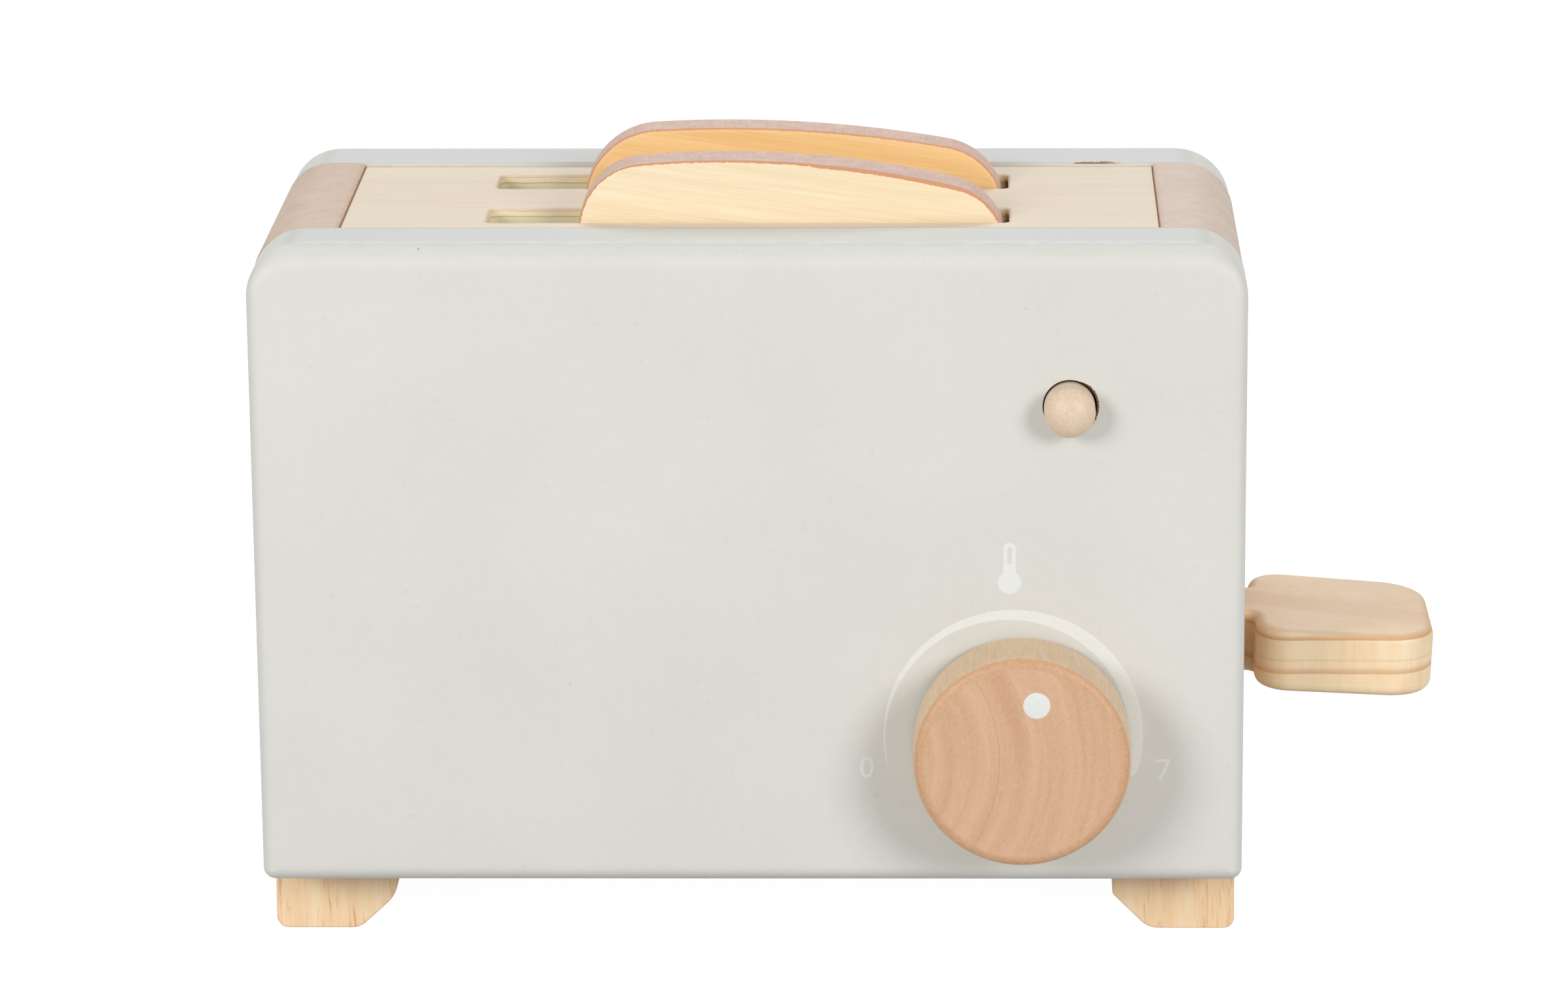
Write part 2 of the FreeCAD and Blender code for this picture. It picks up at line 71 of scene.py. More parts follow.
CASE_HALF = (front_high.x - front_low.x) / 2 / MM
FLOOR = front_low.z / MM
CEILING = front_high.z / MM
OUTER_Y = (back_high.y - MIDDLE.y) / MM
INNER_Y = (back_low.y - MIDDLE.y) / MM
BLOCK_IN = (block_low.x - MIDDLE.x) / MM
BLOCK_OUT = (block_high.x - MIDDLE.x) / MM
BLOCK_TOP = block_high.z / MM
BOARD_LOW = board_low.z / MM
BOARD_TOP = board_high.z / MM
BASE_TOP = base_high.z / MM

PANEL_TOP_R = 10.0
PANEL_BOTTOM_R = 2.5
PANEL_ROUND = 4.6
PANEL_SIDE_ROUND = 2.3
PANEL_SANDED = 0.4
BLOCK_FACE = CASE_HALF - 0.05
BLOCK_SOFT_R = 1.3
JOINT = 0.05

SLOT_LEFT = 26.85 - BLOCK_IN
SLOT_RIGHT = BLOCK_IN - 27.75
SLOT_W = 12.7
SLOT_R = 1.6
SLOT_SANDED = 0.65
SLOT_BACK = 0.75
SLICE_Y = 14.85

BAR_Z = FLOOR + 41.3
LEVER_T = 12.6
SAG = math.radians(2.7)
TRAVEL = 24.0
LIFT_COIL_D = 10.5
LIFT_WIRE_D = 1.2
LIFT_TURNS = 4
LATCH_COIL_D = 5.1
LATCH_WIRE_D = 0.6
LATCH_TURNS = 6
PADDLE_IN = CASE_HALF + 2.9
PADDLE_OUT = PADDLE_IN + 34.7
PADDLE_HALF = 19.9
NECK_Y = 1.6
NECK_W = 15.6
LEVER_ROUND = 2.05

BUTTON_HOLE_X = SLOT_RIGHT + 10.8
BUTTON_X = BUTTON_HOLE_X - 0.05
BUTTON_HOLE_Z = FLOOR + 93.1
BUTTON_Z = BUTTON_HOLE_Z - 0.15
BUTTON_HOLE_R = 5.0
BUTTON_R = 4.75
BUTTON_DOME_R = 5.6
BUTTON_EDGE_R = 1.5
BUTTON_TIP = -OUTER_Y - 7.2

KNOB_X = CASE_HALF - 41.66
KNOB_Z = FLOOR + 28.57
KNOB_R = 20.3
KNOB_ROUND = 2.0
KNOB_FACE = (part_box("knob")[0].y - MIDDLE.y) / MM
KNOB_BACK = (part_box("knob")[1].y - MIDDLE.y) / MM
AXLE_R = 4.0


def world(x, y, z):
    """A place in the row frame, from millimetres."""
    return MIDDLE + Vector((x, y, z)) * MM


def on_edge(u, v, h):
    """A place of an outline that stands in the X and Z plane, at a depth."""
    return world(u, h, v)


def leaning(x, y, z):
    """A place on the carriage, which leans down to the right about its middle."""
    up = z - BAR_Z
    return world(x * math.cos(SAG) + up * math.sin(SAG), y, BAR_Z + up * math.cos(SAG) - x * math.sin(SAG))


# Shapes

def rounded(corners, steps=10):
    """Outline with round corners, from (u, v, radius) places in turn. Returns a function of the inset."""
    count = len(corners)
    area = sum(
        corners[i - 1][0] * corners[i][1] - corners[i][0] * corners[i - 1][1] for i in range(count)
    )
    turn = 1.0 if area > 0 else -1.0

    def outline(inset=0.0):
        points = []
        for i in range(count):
            u, v, radius = corners[i]
            here = Vector((u, v))
            back = (Vector(corners[i - 1][:2]) - here).normalized()
            on = (Vector(corners[(i + 1) % count][:2]) - here).normalized()
            bend = (-back).cross(on) * turn
            half = back.angle(on) / 2
            middle_way = (back + on).normalized()
            if bend < 0:
                middle_way = -middle_way
            tip = here + middle_way * (inset / math.sin(half))
            fillet = radius - inset if bend > 0 else radius + inset
            fillet = max(fillet, 0.01)
            inward = middle_way if bend > 0 else -middle_way
            centre = tip + inward * (fillet / math.sin(half))
            start = (-inward).normalized()
            spread = math.pi / 2 - half
            for k in range(steps + 1):
                angle = (2 * k / steps - 1) * spread * (turn if bend > 0 else -turn)
                turned = Vector((
                    start.x * math.cos(angle) - start.y * math.sin(angle),
                    start.x * math.sin(angle) + start.y * math.cos(angle),
                ))
                points.append(centre + turned * fillet)
        return points

    return outline


def arc_points(centre, radius, start, end, steps):
    """Places along an arc, with both its ends."""
    angles = (start + (end - start) * k / steps for k in range(steps + 1))
    return [centre + Vector((math.cos(angle), math.sin(angle))) * radius for angle in angles]


def circle(u, v, radius, steps=96):
    return lambda inset=0.0: arc_points(Vector((u, v)), radius - inset, 0.0, 2 * math.pi, steps)[:-1]


def box_corners(low_u, low_v, high_u, high_v, radius):
    return [
        (low_u, low_v, radius), (high_u, low_v, radius), (high_u, high_v, radius), (low_u, high_v, radius),
    ]


def round_sides(low, high, low_r, high_r, steps=6, way=1):
    """(inset, height) rings of a board whose two edges are rounded, or flared where way is -1."""
    angles = [math.pi / 2 * k / steps for k in range(steps + 1)]
    rings = [(way * low_r * (1 - math.sin(a)), low + low_r * (1 - math.cos(a))) for a in angles]
    rings += [(way * high_r * (1 - math.cos(a)), high - high_r * (1 - math.sin(a))) for a in angles]
    return rings


CUTTER_OVER = 1.0


def flared(low, high, low_flare, high_flare, steps=6):
    """Rings of a cutter that leaves rounded edges where it enters and leaves a board."""
    rings = round_sides(low, high, low_flare, high_flare, steps, -1)
    entering = rings[:steps + 1] if low_flare else []
    leaving = rings[steps + 1:] if high_flare else []
    return [(-low_flare, low - CUTTER_OVER), *entering, *leaving, (-high_flare, high + CUTTER_OVER)]


def placed(name, data):
    thing = bpy.data.objects.new(name, data)
    bpy.context.scene.collection.objects.link(thing)
    return thing


def as_object(name, mesh):
    bmesh.ops.remove_doubles(mesh, verts=mesh.verts, dist=2e-7)
    bmesh.ops.recalc_face_normals(mesh, faces=mesh.faces)
    data = bpy.data.meshes.new(name)
    mesh.to_mesh(data)
    mesh.free()
    return placed(name, data)


def skin(mesh, loops):
    """Faces between loops of vertices that follow one another."""
    count = len(loops[0])
    for low, high in zip(loops, loops[1:]):
        for i in range(count):
            j = (i + 1) % count
            mesh.faces.new((low[i], low[j], high[j], high[i]))


def close_ends(mesh, loops):
    mesh.faces.new(loops[0][::-1])
    mesh.faces.new(loops[-1])


def prism(name, outline, rings, place):
    """Closed body from rings of one outline; a ring's height may be a rule of the place on the outline.
    The attribute rim keeps each ring's inset in millimetres."""
    mesh = bmesh.new()
    rim = mesh.verts.layers.float.new("rim")
    loops = []
    for inset, height in rings:
        loop = []
        for point in outline(inset):
            vert = mesh.verts.new(place(point.x, point.y, height(point) if callable(height) else height))
            vert[rim] = inset
            loop.append(vert)
        loops.append(loop)
    skin(mesh, loops)
    close_ends(mesh, loops)
    return as_object(name, mesh)


def lathe(name, profile, place, steps=128):
    """Body turned round an axis from (radius, height) places; both ends lie on the axis."""
    mesh = bmesh.new()
    rim = mesh.verts.layers.float.new("rim")
    loops = []
    for radius, height in profile:
        loop = []
        for k in range(steps):
            angle = 2 * math.pi * k / steps
            vert = mesh.verts.new(place(radius * math.cos(angle), radius * math.sin(angle), height))
            vert[rim] = radius
            loop.append(vert)
        loops.append(loop)
    skin(mesh, loops)
    return as_object(name, mesh)


def tube(name, path, radius, sides=16):
    """Round wire along a path of places, with closed ends."""
    mesh = bmesh.new()
    loops = []
    for i, here in enumerate(path):
        along = (path[min(i + 1, len(path) - 1)] - path[max(i - 1, 0)]).normalized()
        across = along.cross(Vector((0.123, 0.456, 0.789))).normalized() if i == 0 else across
        across = (across - along * across.dot(along)).normalized()
        up = along.cross(across)
        loops.append([
            mesh.verts.new(here + (across * math.cos(a) + up * math.sin(a)) * radius)
            for a in (2 * math.pi * k / sides for k in range(sides))
        ])
    skin(mesh, loops)
    close_ends(mesh, loops)
    return as_object(name, mesh)


def cut(piece, *cutters):
    """Takes the cutters' bodies out of a piece, and drops them."""
    for cutter in cutters:
        modifier = piece.modifiers.new("cut", "BOOLEAN")
        modifier.operation = "DIFFERENCE"
        modifier.solver = "EXACT"
        modifier.object = cutter
    bpy.context.view_layer.update()
    graph = bpy.context.evaluated_depsgraph_get()
    old = piece.data
    data = bpy.data.meshes.new_from_object(piece.evaluated_get(graph))
    piece.modifiers.clear()
    piece.data = data
    data.name = piece.name
    bpy.data.meshes.remove(old)
    for cutter in cutters:
        bpy.data.objects.remove(cutter)


def shade(piece, sharp=38):
    piece.data.shade_smooth()
    piece.data.set_sharp_from_angle(angle=math.radians(sharp))
    modifier = piece.modifiers.new("normals", "WEIGHTED_NORMAL")
    modifier.keep_sharp = True
    modifier.weight = 90
    return piece


def dress(piece, material, slot, body, *nodes):
    """Gives a piece its material, its body and the nodes that it stands for."""
    piece.data.materials.clear()
    piece.data.materials.append(material)
    shade(piece)
    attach(piece, body)
    if nodes:
        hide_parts(*nodes)
    return piece


# Materials

def colour(red, green, blue):
    """A colour written as 0 to 255 values on a screen."""
    linear = []
    for value in (red, green, blue):
        share = value / 255
        linear.append(share / 12.92 if share <= 0.04045 else ((share + 0.055) / 1.055) ** 2.4)
    return (*linear, 1.0)


class Tree:
    """The empty node tree of a material or a world."""

    def __init__(self, owner):
        owner.use_nodes = True
        self.tree = owner.node_tree
        self.tree.nodes.clear()

    def add(self, kind, inputs=None, **settings):
        node = self.tree.nodes.new(kind)
        for key, value in settings.items():
            setattr(node, key, value)
        for key, value in (inputs or {}).items():
            if isinstance(value, bpy.types.NodeSocket):
                self.tree.links.new(value, node.inputs[key])
            else:
                node.inputs[key].default_value = value
        return node


class Finish(Tree):
    """A material and short names for the nodes that it is made of."""

    def __init__(self, name):
        self.material = bpy.data.materials.new(name)
        super().__init__(self.material)
        self.place = self.add("ShaderNodeTexCoord").outputs["Object"]

    def around(self, x=0, y=0, z=0, scale=(1, 1, 1), turn=(0, 0, 0)):
        """Coordinates in millimetres from a place, turned and stretched."""
        shifted = self.add("ShaderNodeVectorMath", {0: self.place, 1: world(x, y, z)}, operation="SUBTRACT")
        in_mm = self.add("ShaderNodeVectorMath", {0: shifted.outputs[0], "Scale": 1 / MM}, operation="SCALE")
        at = in_mm.outputs[0]
        if turn != (0, 0, 0):
            at = self.add("ShaderNodeMapping", {
                "Vector": at, "Rotation": [math.radians(t) for t in turn],
            }).outputs[0]
        if scale != (1, 1, 1):
            at = self.add("ShaderNodeVectorMath", {0: at, 1: scale}, operation="MULTIPLY").outputs[0]
        return at

    def axes(self, vector):
        split = self.add("ShaderNodeSeparateXYZ", {0: vector})
        return split.outputs[0], split.outputs[1], split.outputs[2]

    def joined(self, x, y, z):
        return self.add("ShaderNodeCombineXYZ", {0: x, 1: y, 2: z}).outputs[0]

    def do(self, operation, first, second=0.0):
        return self.add("ShaderNodeMath", {0: first, 1: second}, operation=operation).outputs[0]

    def plus(self, first, second):
        return self.do("ADD", first, second)

    def minus(self, first, second):
        return self.do("SUBTRACT", first, second)

    def times(self, first, second):
        return self.do("MULTIPLY", first, second)

    def away(self, first, second):
        """How far apart two values are."""
        return self.do("ABSOLUTE", self.minus(first, second))

    def weigh(self, *terms):
        """Sum of (value, share) terms."""
        total = self.times(*terms[0])
        for term in terms[1:]:
            total = self.plus(total, self.times(*term))
        return total

    def noise(self, vector, scale, detail, rough, warp=0.0):
        return self.add("ShaderNodeTexNoise", {
            "Vector": vector, "Scale": scale, "Detail": detail, "Roughness": rough, "Distortion": warp,
        }).outputs[0]

    def fibres(self, sizes, detail, rough, warp=0.0, turn=(0, 0, 0), start=(0, 0, 0)):
        """Noise with grains of these sizes in millimetres."""
        at = self.around(*start, tuple(1 / size for size in sizes), turn)
        return self.noise(at, 1.0, detail, rough, warp)

    def cells(self, vector, scale=1.0):
        """Distance to the nearest of scattered places, and a colour for each."""
        return self.add("ShaderNodeTexVoronoi", {"Vector": vector, "Scale": scale}).outputs

    def flecks(self, sizes, turn=(0, 0, 0)):
        """Cells of these sizes in millimetres."""
        return self.cells(self.around(0, 0, 0, tuple(1 / size for size in sizes), turn))

    def chance(self, scattered):
        """A value from 0 to 1 for each cell."""
        return self.add("ShaderNodeSeparateColor", {0: scattered[1]}).outputs[0]

    def span(self, value, low, high, to_low=0.0, to_high=1.0):
        """Goes smoothly from one level to another, as the value goes from low to high."""
        return self.add("ShaderNodeMapRange", {
            0: value, 1: low, 2: high, 3: to_low, 4: to_high,
        }, interpolation_type="SMOOTHSTEP").outputs[0]

    def fall(self, value, low, high):
        return self.span(value, low, high, 1.0, 0.0)

    def band(self, value, start, full, fading, end):
        return self.times(self.span(value, start, full), self.fall(value, fading, end))

    def dull(self, pattern, smoothest, roughest):
        return self.span(pattern, 0.3, 0.7, smoothest, roughest)

    def mix(self, share, first, second):
        node = self.add("ShaderNodeMix", {0: share}, data_type="RGBA")
        for index, value in ((6, first), (7, second)):
            if isinstance(value, bpy.types.NodeSocket):
                self.tree.links.new(value, node.inputs[index])
            else:
                node.inputs[index].default_value = colour(*value)
        return node.outputs[2]

    def ramp(self, value, *stops):
        """stops are (place, colour)."""
        node = self.add("ShaderNodeValToRGB", {0: value})
        elements = node.color_ramp.elements
        while len(elements) < len(stops):
            elements.new(0.5)
        for element, (place, tint) in zip(elements, stops):
            element.position = place
            element.color = colour(*tint)
        return node.outputs[0]

    def radius(self, vector, x=True, y=True, z=True):
        """Distance from an axis or a place."""
        keep = self.add("ShaderNodeVectorMath", {
            0: vector, 1: (float(x), float(y), float(z)),
        }, operation="MULTIPLY").outputs[0]
        return self.add("ShaderNodeVectorMath", {0: keep}, operation="LENGTH").outputs[1]

    def attribute(self, name):
        return self.add("ShaderNodeAttribute", attribute_name=name).outputs["Fac"]

    def facing(self):
        """The surface's own normal in the object's frame."""
        return self.axes(self.add("ShaderNodeTexCoord").outputs["Normal"])

    def done(self, base, rough, bumps, gloss=0.5, metal=0.0):
        """bumps are (height, depth in millimetres, strength) from coarse to fine."""
        normal = None
        for height, depth, strength in bumps:
            inputs = {"Height": height, "Distance": depth * MM, "Strength": strength}
            if normal is not None:
                inputs["Normal"] = normal
            normal = self.add("ShaderNodeBump", inputs).outputs[0]
        shader = self.add("ShaderNodeBsdfPrincipled", {
            "Base Color": base, "Roughness": rough, "Specular IOR Level": gloss, "Metallic": metal,
            "Normal": normal,
        })
        output = self.add("ShaderNodeOutputMaterial")
        self.tree.links.new(shader.outputs[0], output.inputs[0])
        return self.material


CHIP_X = 61.5
# (x, z, radius, share, colour) of the spots on the front
SPECKS = (
    (-60.4, 136.6, 0.22, 0.8, (92, 84, 74)), (-5.9, 136.8, 0.16, 0.7, (110, 100, 88)),
    (-1.8, 136.2, 0.16, 0.6, (120, 110, 98)), (51.5, 125.7, 0.18, 0.7, (110, 100, 88)),
    (23.5, 31.7, 0.5, 0.14, (176, 150, 118)), (24.5, 25.9, 0.45, 0.12, (176, 150, 118)),
    (-64.1, 27.5, 0.4, 0.14, (170, 146, 118)), (70.6, 30.2, 0.4, 0.12, (176, 150, 118)),
)


def paint():
    """Satin warm grey paint, with bare wood on the inner faces and a scorched button hole."""
    f = Finish("grey_paint")
    at = f.around()
    x, y, z = f.axes(at)
    cloud = f.noise(at, 1 / 45, 3, 0.5)
    mottle = f.noise(at, 1 / 2.2, 4, 0.6)
    base = f.ramp(f.weigh((cloud, 0.7), (mottle, 0.3)), (0.30, (219, 218, 211)), (0.70, (226, 225, 219)))
    # The flat top faces get a cooler grey tone of the paint and are painted darker: painted shade.
    on_top = f.span(z, CEILING - 0.9, CEILING - 0.1)
    cool_shaded_top = f.mix(on_top, base, (205, 207, 203))
    scuffs = f.fibres((7, 0.5, 2), 5, 0.7)
    scuffed = f.mix(
        f.times(f.span(scuffs, 0.60, 0.70), f.span(z, CEILING - 2.2, CEILING - 0.2)),
        cool_shaded_top, (200, 203, 203),
    )
    specks = f.cells(at, 1 / 11)
    spot = f.times(f.fall(specks[0], 0.008, 0.015), f.span(f.chance(specks), 0.72, 0.76))
    dotted = f.mix(f.times(spot, 0.6), scuffed, (120, 112, 100))
    for speck_x, speck_z, size, share, tint in SPECKS:
        near = f.plus(f.radius(f.around(speck_x, 0, speck_z), y=False), f.times(mottle, 0.2))
        spot = f.times(f.span(near, size * 0.6, size * 1.5, share, 0.0), f.fall(y, -1, 0))
        dotted = f.mix(spot, dotted, tint)
    fine = f.cells(at, 1 / 5)
    stained = f.mix(f.times(f.fall(fine[0], 0.05, 0.11), 0.10), dotted, (190, 176, 150))
    worn = f.fibres((2.2, 1.2, 1.2), 5, 0.75)
    chipped = f.band(x, CHIP_X - 0.8, CHIP_X + 0.8, CHIP_X + 5, CHIP_X + 10.5)
    chipped = f.times(chipped, f.times(f.span(y, 0, 1), f.span(z, CEILING - 0.55, CEILING - 0.4)))
    chip = f.times(chipped, f.span(worn, 0.34, 0.62, 0.05, 0.36))
    reach = f.do("MAXIMUM", f.span(worn, 0.60, 0.72, -0.6, 0.14), chip)
    edge = f.minus(f.do("ABSOLUTE", y), reach)
    above = f.span(z, BOARD_TOP - 0.3, BOARD_TOP - 0.1)
    edge = f.plus(edge, f.times(above, 0.12))
    bare = f.fall(edge, INNER_Y + 0.02, INNER_Y + 0.14)
    fibre = f.fibres((18, 0.5, 0.7), 4, 0.65)
    wood = f.ramp(fibre, (0.30, (186, 160, 136)), (0.70, (222, 204, 178)))
    wood = f.mix(f.times(chipped, 0.9), wood, (142, 108, 90))
    sanded = f.mix(bare, stained, wood)
    from_hole = f.around(BUTTON_HOLE_X, 0, BUTTON_HOLE_Z)
    hole = f.radius(from_hole, y=False)
    to_right = f.span(f.axes(from_hole)[0], 1.5, 4.0)
    tattered = f.times(f.times(f.noise(at, 1 / 0.35, 3, 0.7), -0.75), to_right)
    ragged = f.plus(hole, tattered)
    in_front = f.fall(y, -INNER_Y - 1.0, -INNER_Y)
    burnt = f.times(f.fall(ragged, BUTTON_HOLE_R + 0.01, BUTTON_HOLE_R + 0.06), in_front)
    base = f.mix(burnt, sanded, (104, 70, 52))
    peel = f.noise(at, 1 / 1.6, 2, 0.5)
    drawn = f.fibres((30, 3, 1.2), 3, 0.6)
    rough = f.dull(mottle, 0.50, 0.60)
    rough = f.plus(rough, f.times(bare, 0.25))
    rough = f.minus(rough, f.span(z, CEILING - 0.14, CEILING - 0.01, 0.0, 0.1))
    return f.done(base, rough, ((drawn, 0.05, 0.3), (peel, 0.03, 0.3), (mottle, 0.015, 0.3)), gloss=0.38)


def end_grain(name, heart, pale, mid, dark):
    """The end blocks' wood: fine crossed fibres, faint rings and a scorched line beside the board."""
    f = Finish(name)
    at = f.around()
    x = f.axes(at)[0]
    along = f.fibres((2.2, 0.22, 7), 4, 0.7, turn=(0, 0, 24))
    across = f.fibres((0.22, 2.2, 7), 4, 0.7, turn=(0, 0, 10))
    upright = f.fibres((0.5, 0.5, 16), 4, 0.65)
    cloud = f.noise(at, 1 / 7, 3, 0.55)
    tone = f.weigh((along, 0.30), (across, 0.24))
    tone = f.plus(tone, f.weigh((upright, 0.20), (cloud, 0.26)))
    base = f.ramp(tone, (0.38, mid), (0.60, pale))
    from_heart = f.plus(f.radius(f.around(*heart), z=False), f.times(cloud, 3.0))
    phase = f.do("FRACT", f.do("DIVIDE", from_heart, 4.6))
    late = f.band(phase, 0.3, 0.9, 0.9, 1.0)
    base = f.mix(f.times(late, 0.06), base, dark)
    fleck = f.flecks((1.1, 0.5, 5), (0, 0, 20))
    base = f.mix(f.times(f.fall(fleck[0], 0.08, 0.26), 0.22), base, dark)
    joint = f.minus(f.do("ABSOLUTE", x), BLOCK_IN)
    joint = f.plus(joint, f.times(f.fibres((1, 1.4, 1), 4, 0.7), -0.5))
    base = f.mix(f.span(joint, -0.06, 0.04, 0.8, 0.0), base, (178, 124, 86))
    return f.done(base, f.dull(tone, 0.60, 0.72), ((along, 0.02, 0.25), (across, 0.02, 0.2)), gloss=0.34)


LAYER = 1.95    # plywood's face layer


def plywood():
    """Birch plywood: fine grain on the face, and its layers on the slots' walls."""
    f = Finish("ply_board")
    at = f.around()
    x, y, z = f.axes(at)
    fibre = f.fibres((26, 0.42, 0.42), 5, 0.65)
    band = f.fibres((90, 4.5, 4.5), 3, 0.5, warp=0.4)
    face = f.ramp(f.weigh((fibre, 0.55), (band, 0.45)), (0.28, (227, 210, 188)), (0.70, (240, 227, 208)))
    dash = f.flecks((9, 0.55, 1))
    face = f.mix(f.times(f.fall(dash[0], 0.05, 0.20), 0.16), face, (190, 160, 124))
    fuzz = f.noise(at, 1 / 0.5, 4, 0.7)
    depth = f.minus(BOARD_TOP, z)
    uneven = f.plus(depth, f.times(f.noise(at, 1 / 5, 3, 0.6), 0.5))
    # The slots' walls are written paler than the face: painted light that offsets their shade.
    wall = f.ramp(fuzz, (0.3, (248, 228, 194)), (0.7, (255, 243, 214)))
    below = f.away(uneven, LAYER)
    wall = f.mix(f.span(uneven, LAYER, LAYER + 0.1), wall, (240, 232, 196))
    wall = f.mix(f.span(below, 0.04, 0.20, 0.75, 0.0), wall, (206, 176, 124))
    # Painted shade: the walls darken deeper down the slots.
    shaded_deep_wall = f.mix(f.span(depth, 3.0, 7.0, 0.0, 0.3), wall, (150, 122, 88))
    base = f.mix(f.span(uneven, 0.55, 0.75), face, shaded_deep_wall)
    rim = f.span(f.away(uneven, 0.80), 0.05, 0.18, 0.6, 0.0)
    base = f.mix(rim, base, (214, 180, 118))
    end = f.times(f.span(x, SLOT_RIGHT - 2.4, SLOT_RIGHT - 1.3), f.span(depth, 0.5, 1.5))
    in_slot = f.minus(f.away(y, SLOT_BACK), SLICE_Y)
    in_slot = f.fall(f.do("ABSOLUTE", in_slot), SLOT_W / 2 - 0.5, SLOT_W / 2)
    scorched = f.ramp(f.noise(at, 1 / 0.9, 4, 0.7), (0.35, (104, 70, 44)), (0.65, (160, 124, 94)))
    base = f.mix(f.times(f.times(end, in_slot), 0.95), base, scorched)
    at_panel = f.plus(f.minus(INNER_Y, y), f.times(f.fibres((3, 1, 1), 3, 0.6), 0.3))
    base = f.mix(f.span(at_panel, 0.35, 0.75, 0.6, 0.0), base, (178, 150, 122))
    return f.done(base, f.dull(fibre, 0.58, 0.72),
                  ((band, 0.05, 0.3), (fibre, 0.05, 0.5), (fuzz, 0.03, 0.2)), gloss=0.35)


GRAIN_FALL = 8.0    # degrees
BURN_START = 0.10   # scorched line's distance from the edge
# (from x, to x, change) of the scorched line's width
WIDENING = ((-32, -15, 0.04), (-15, 10, 0.10), (10.5, 13, 0.24), (14, 34, 0.06), (38, 43, -0.28))


def bread(name, pale, deep, burn, burn_width, widens, glow):
    """A slice: fine grained face, pink brown edge and a scorched line just inside the edge."""
    f = Finish(name)
    at = f.around()
    x = f.axes(at)[0]
    fibre = f.fibres((15, 0.5, 0.26), 5, 0.65, turn=(0, -GRAIN_FALL, 0))
    band = f.fibres((60, 3, 2.6), 3, 0.5, warp=0.5, turn=(0, -GRAIN_FALL, 0))
    face = f.ramp(f.weigh((fibre, 0.62), (band, 0.38)), (0.33, deep), (0.66, pale))
    pit = f.flecks((5, 1, 1.0), (0, -GRAIN_FALL, 0))
    pitted = f.times(f.fall(pit[0], 0.03, 0.12), f.span(f.chance(pit), 0.7, 0.75))
    face = f.mix(f.times(pitted, 0.22), face, burn[1])
    rim = f.attribute("rim")
    tooth = f.noise(at, 1 / 0.75, 3, 0.75)
    width = f.plus(burn_width, f.times(f.minus(tooth, 0.5), burn_width * 2.2))
    for low_x, high_x, change in WIDENING:
        width = f.plus(width, f.span(x, low_x, high_x, 0.0, change * widens))
    in_line = f.do("DIVIDE", f.minus(rim, BURN_START), width)
    face = f.mix(f.span(in_line, 1.0, 2.6, 0.7, 0.0), face, glow)
    burnt = f.fall(in_line, 0.85, 1.15)
    streak = f.fibres((0.5, 5, 0.5), 4, 0.65)
    edge_grain = f.fibres((3.5, 2.2, 3.5), 5, 0.7)
    edge = f.ramp(f.weigh((edge_grain, 0.55), (streak, 0.45)),
                  (0.36, (206, 173, 156)), (0.62, (226, 197, 182)))
    line = f.ramp(f.plus(in_line, f.times(tooth, 0.4)), (0.2, burn[0]), (1.0, burn[1]))
    off_face = f.span(rim, BURN_START - 0.1, BURN_START + 0.02)
    base = f.mix(off_face, edge, f.mix(burnt, face, line))
    return f.done(base, f.dull(fibre, 0.60, 0.74),
                  ((band, 0.04, 0.2), (fibre, 0.05, 0.45), (edge_grain, 0.03, 0.2)), gloss=0.35)


# (height, fade upwards, fade downwards, share) of each band round the lever
LEVER_BANDS = ((FLOOR + 42.0, 1.3, 0.10, 0.75), (FLOOR + 37.9, 0.6, 0.2, 0.22),
               (FLOOR + 35.4, 1.6, 0.20, 0.60), (FLOOR + 47.5, 1.2, 0.2, 0.22))


def pine():
    """The lever's wood, with brown bands round its sides and a pink band over its top."""
    f = Finish("lever_pine")
    at = f.around()
    x, y, z = f.axes(at)
    fibre = f.fibres((20, 0.6, 0.5), 4, 0.6)
    upright = f.fibres((1.6, 1.6, 14), 3, 0.6)
    cloud = f.noise(at, 1 / 12, 2, 0.5)
    base = f.ramp(f.weigh((fibre, 0.35), (upright, 0.25), (cloud, 0.4)),
                  (0.34, (225, 196, 161)), (0.64, (238, 215, 185)))
    on_top = f.span(f.do("ABSOLUTE", f.facing()[2]), 0.45, 0.85)
    # The sides are written paler than the top: painted light.
    side = f.ramp(f.weigh((upright, 0.5), (cloud, 0.5)), (0.34, (249, 216, 174)), (0.64, (255, 233, 197)))
    base = f.mix(on_top, side, base)
    level = f.plus(z, f.times(f.fibres((30, 30, 60), 2, 0.5), 1.6))
    level = f.plus(level, f.times(x, 0.006))
    for height, above, below, share in LEVER_BANDS:
        band = f.band(level, height - below, height, height, height + above)
        base = f.mix(f.times(band, share), base, (208, 150, 88))
    # Painted shade: the lever's sides darken and turn orange next to the case.
    shade_by_case = f.times(f.span(x, PADDLE_IN + 1.0, PADDLE_IN + 8.0, 0.34, 0.0), f.minus(1.0, on_top))
    base = f.mix(shade_by_case, base, (218, 168, 108))
    across = f.plus(y, f.times(x, 0.30))
    pink = f.band(across, 24.0, 28.0, 34.0, 37.0)
    base = f.mix(f.times(f.times(pink, on_top), 0.5), base, (222, 188, 158))
    return f.done(base, f.dull(fibre, 0.50, 0.62), ((fibre, 0.04, 0.4), (upright, 0.03, 0.2)), gloss=0.4)


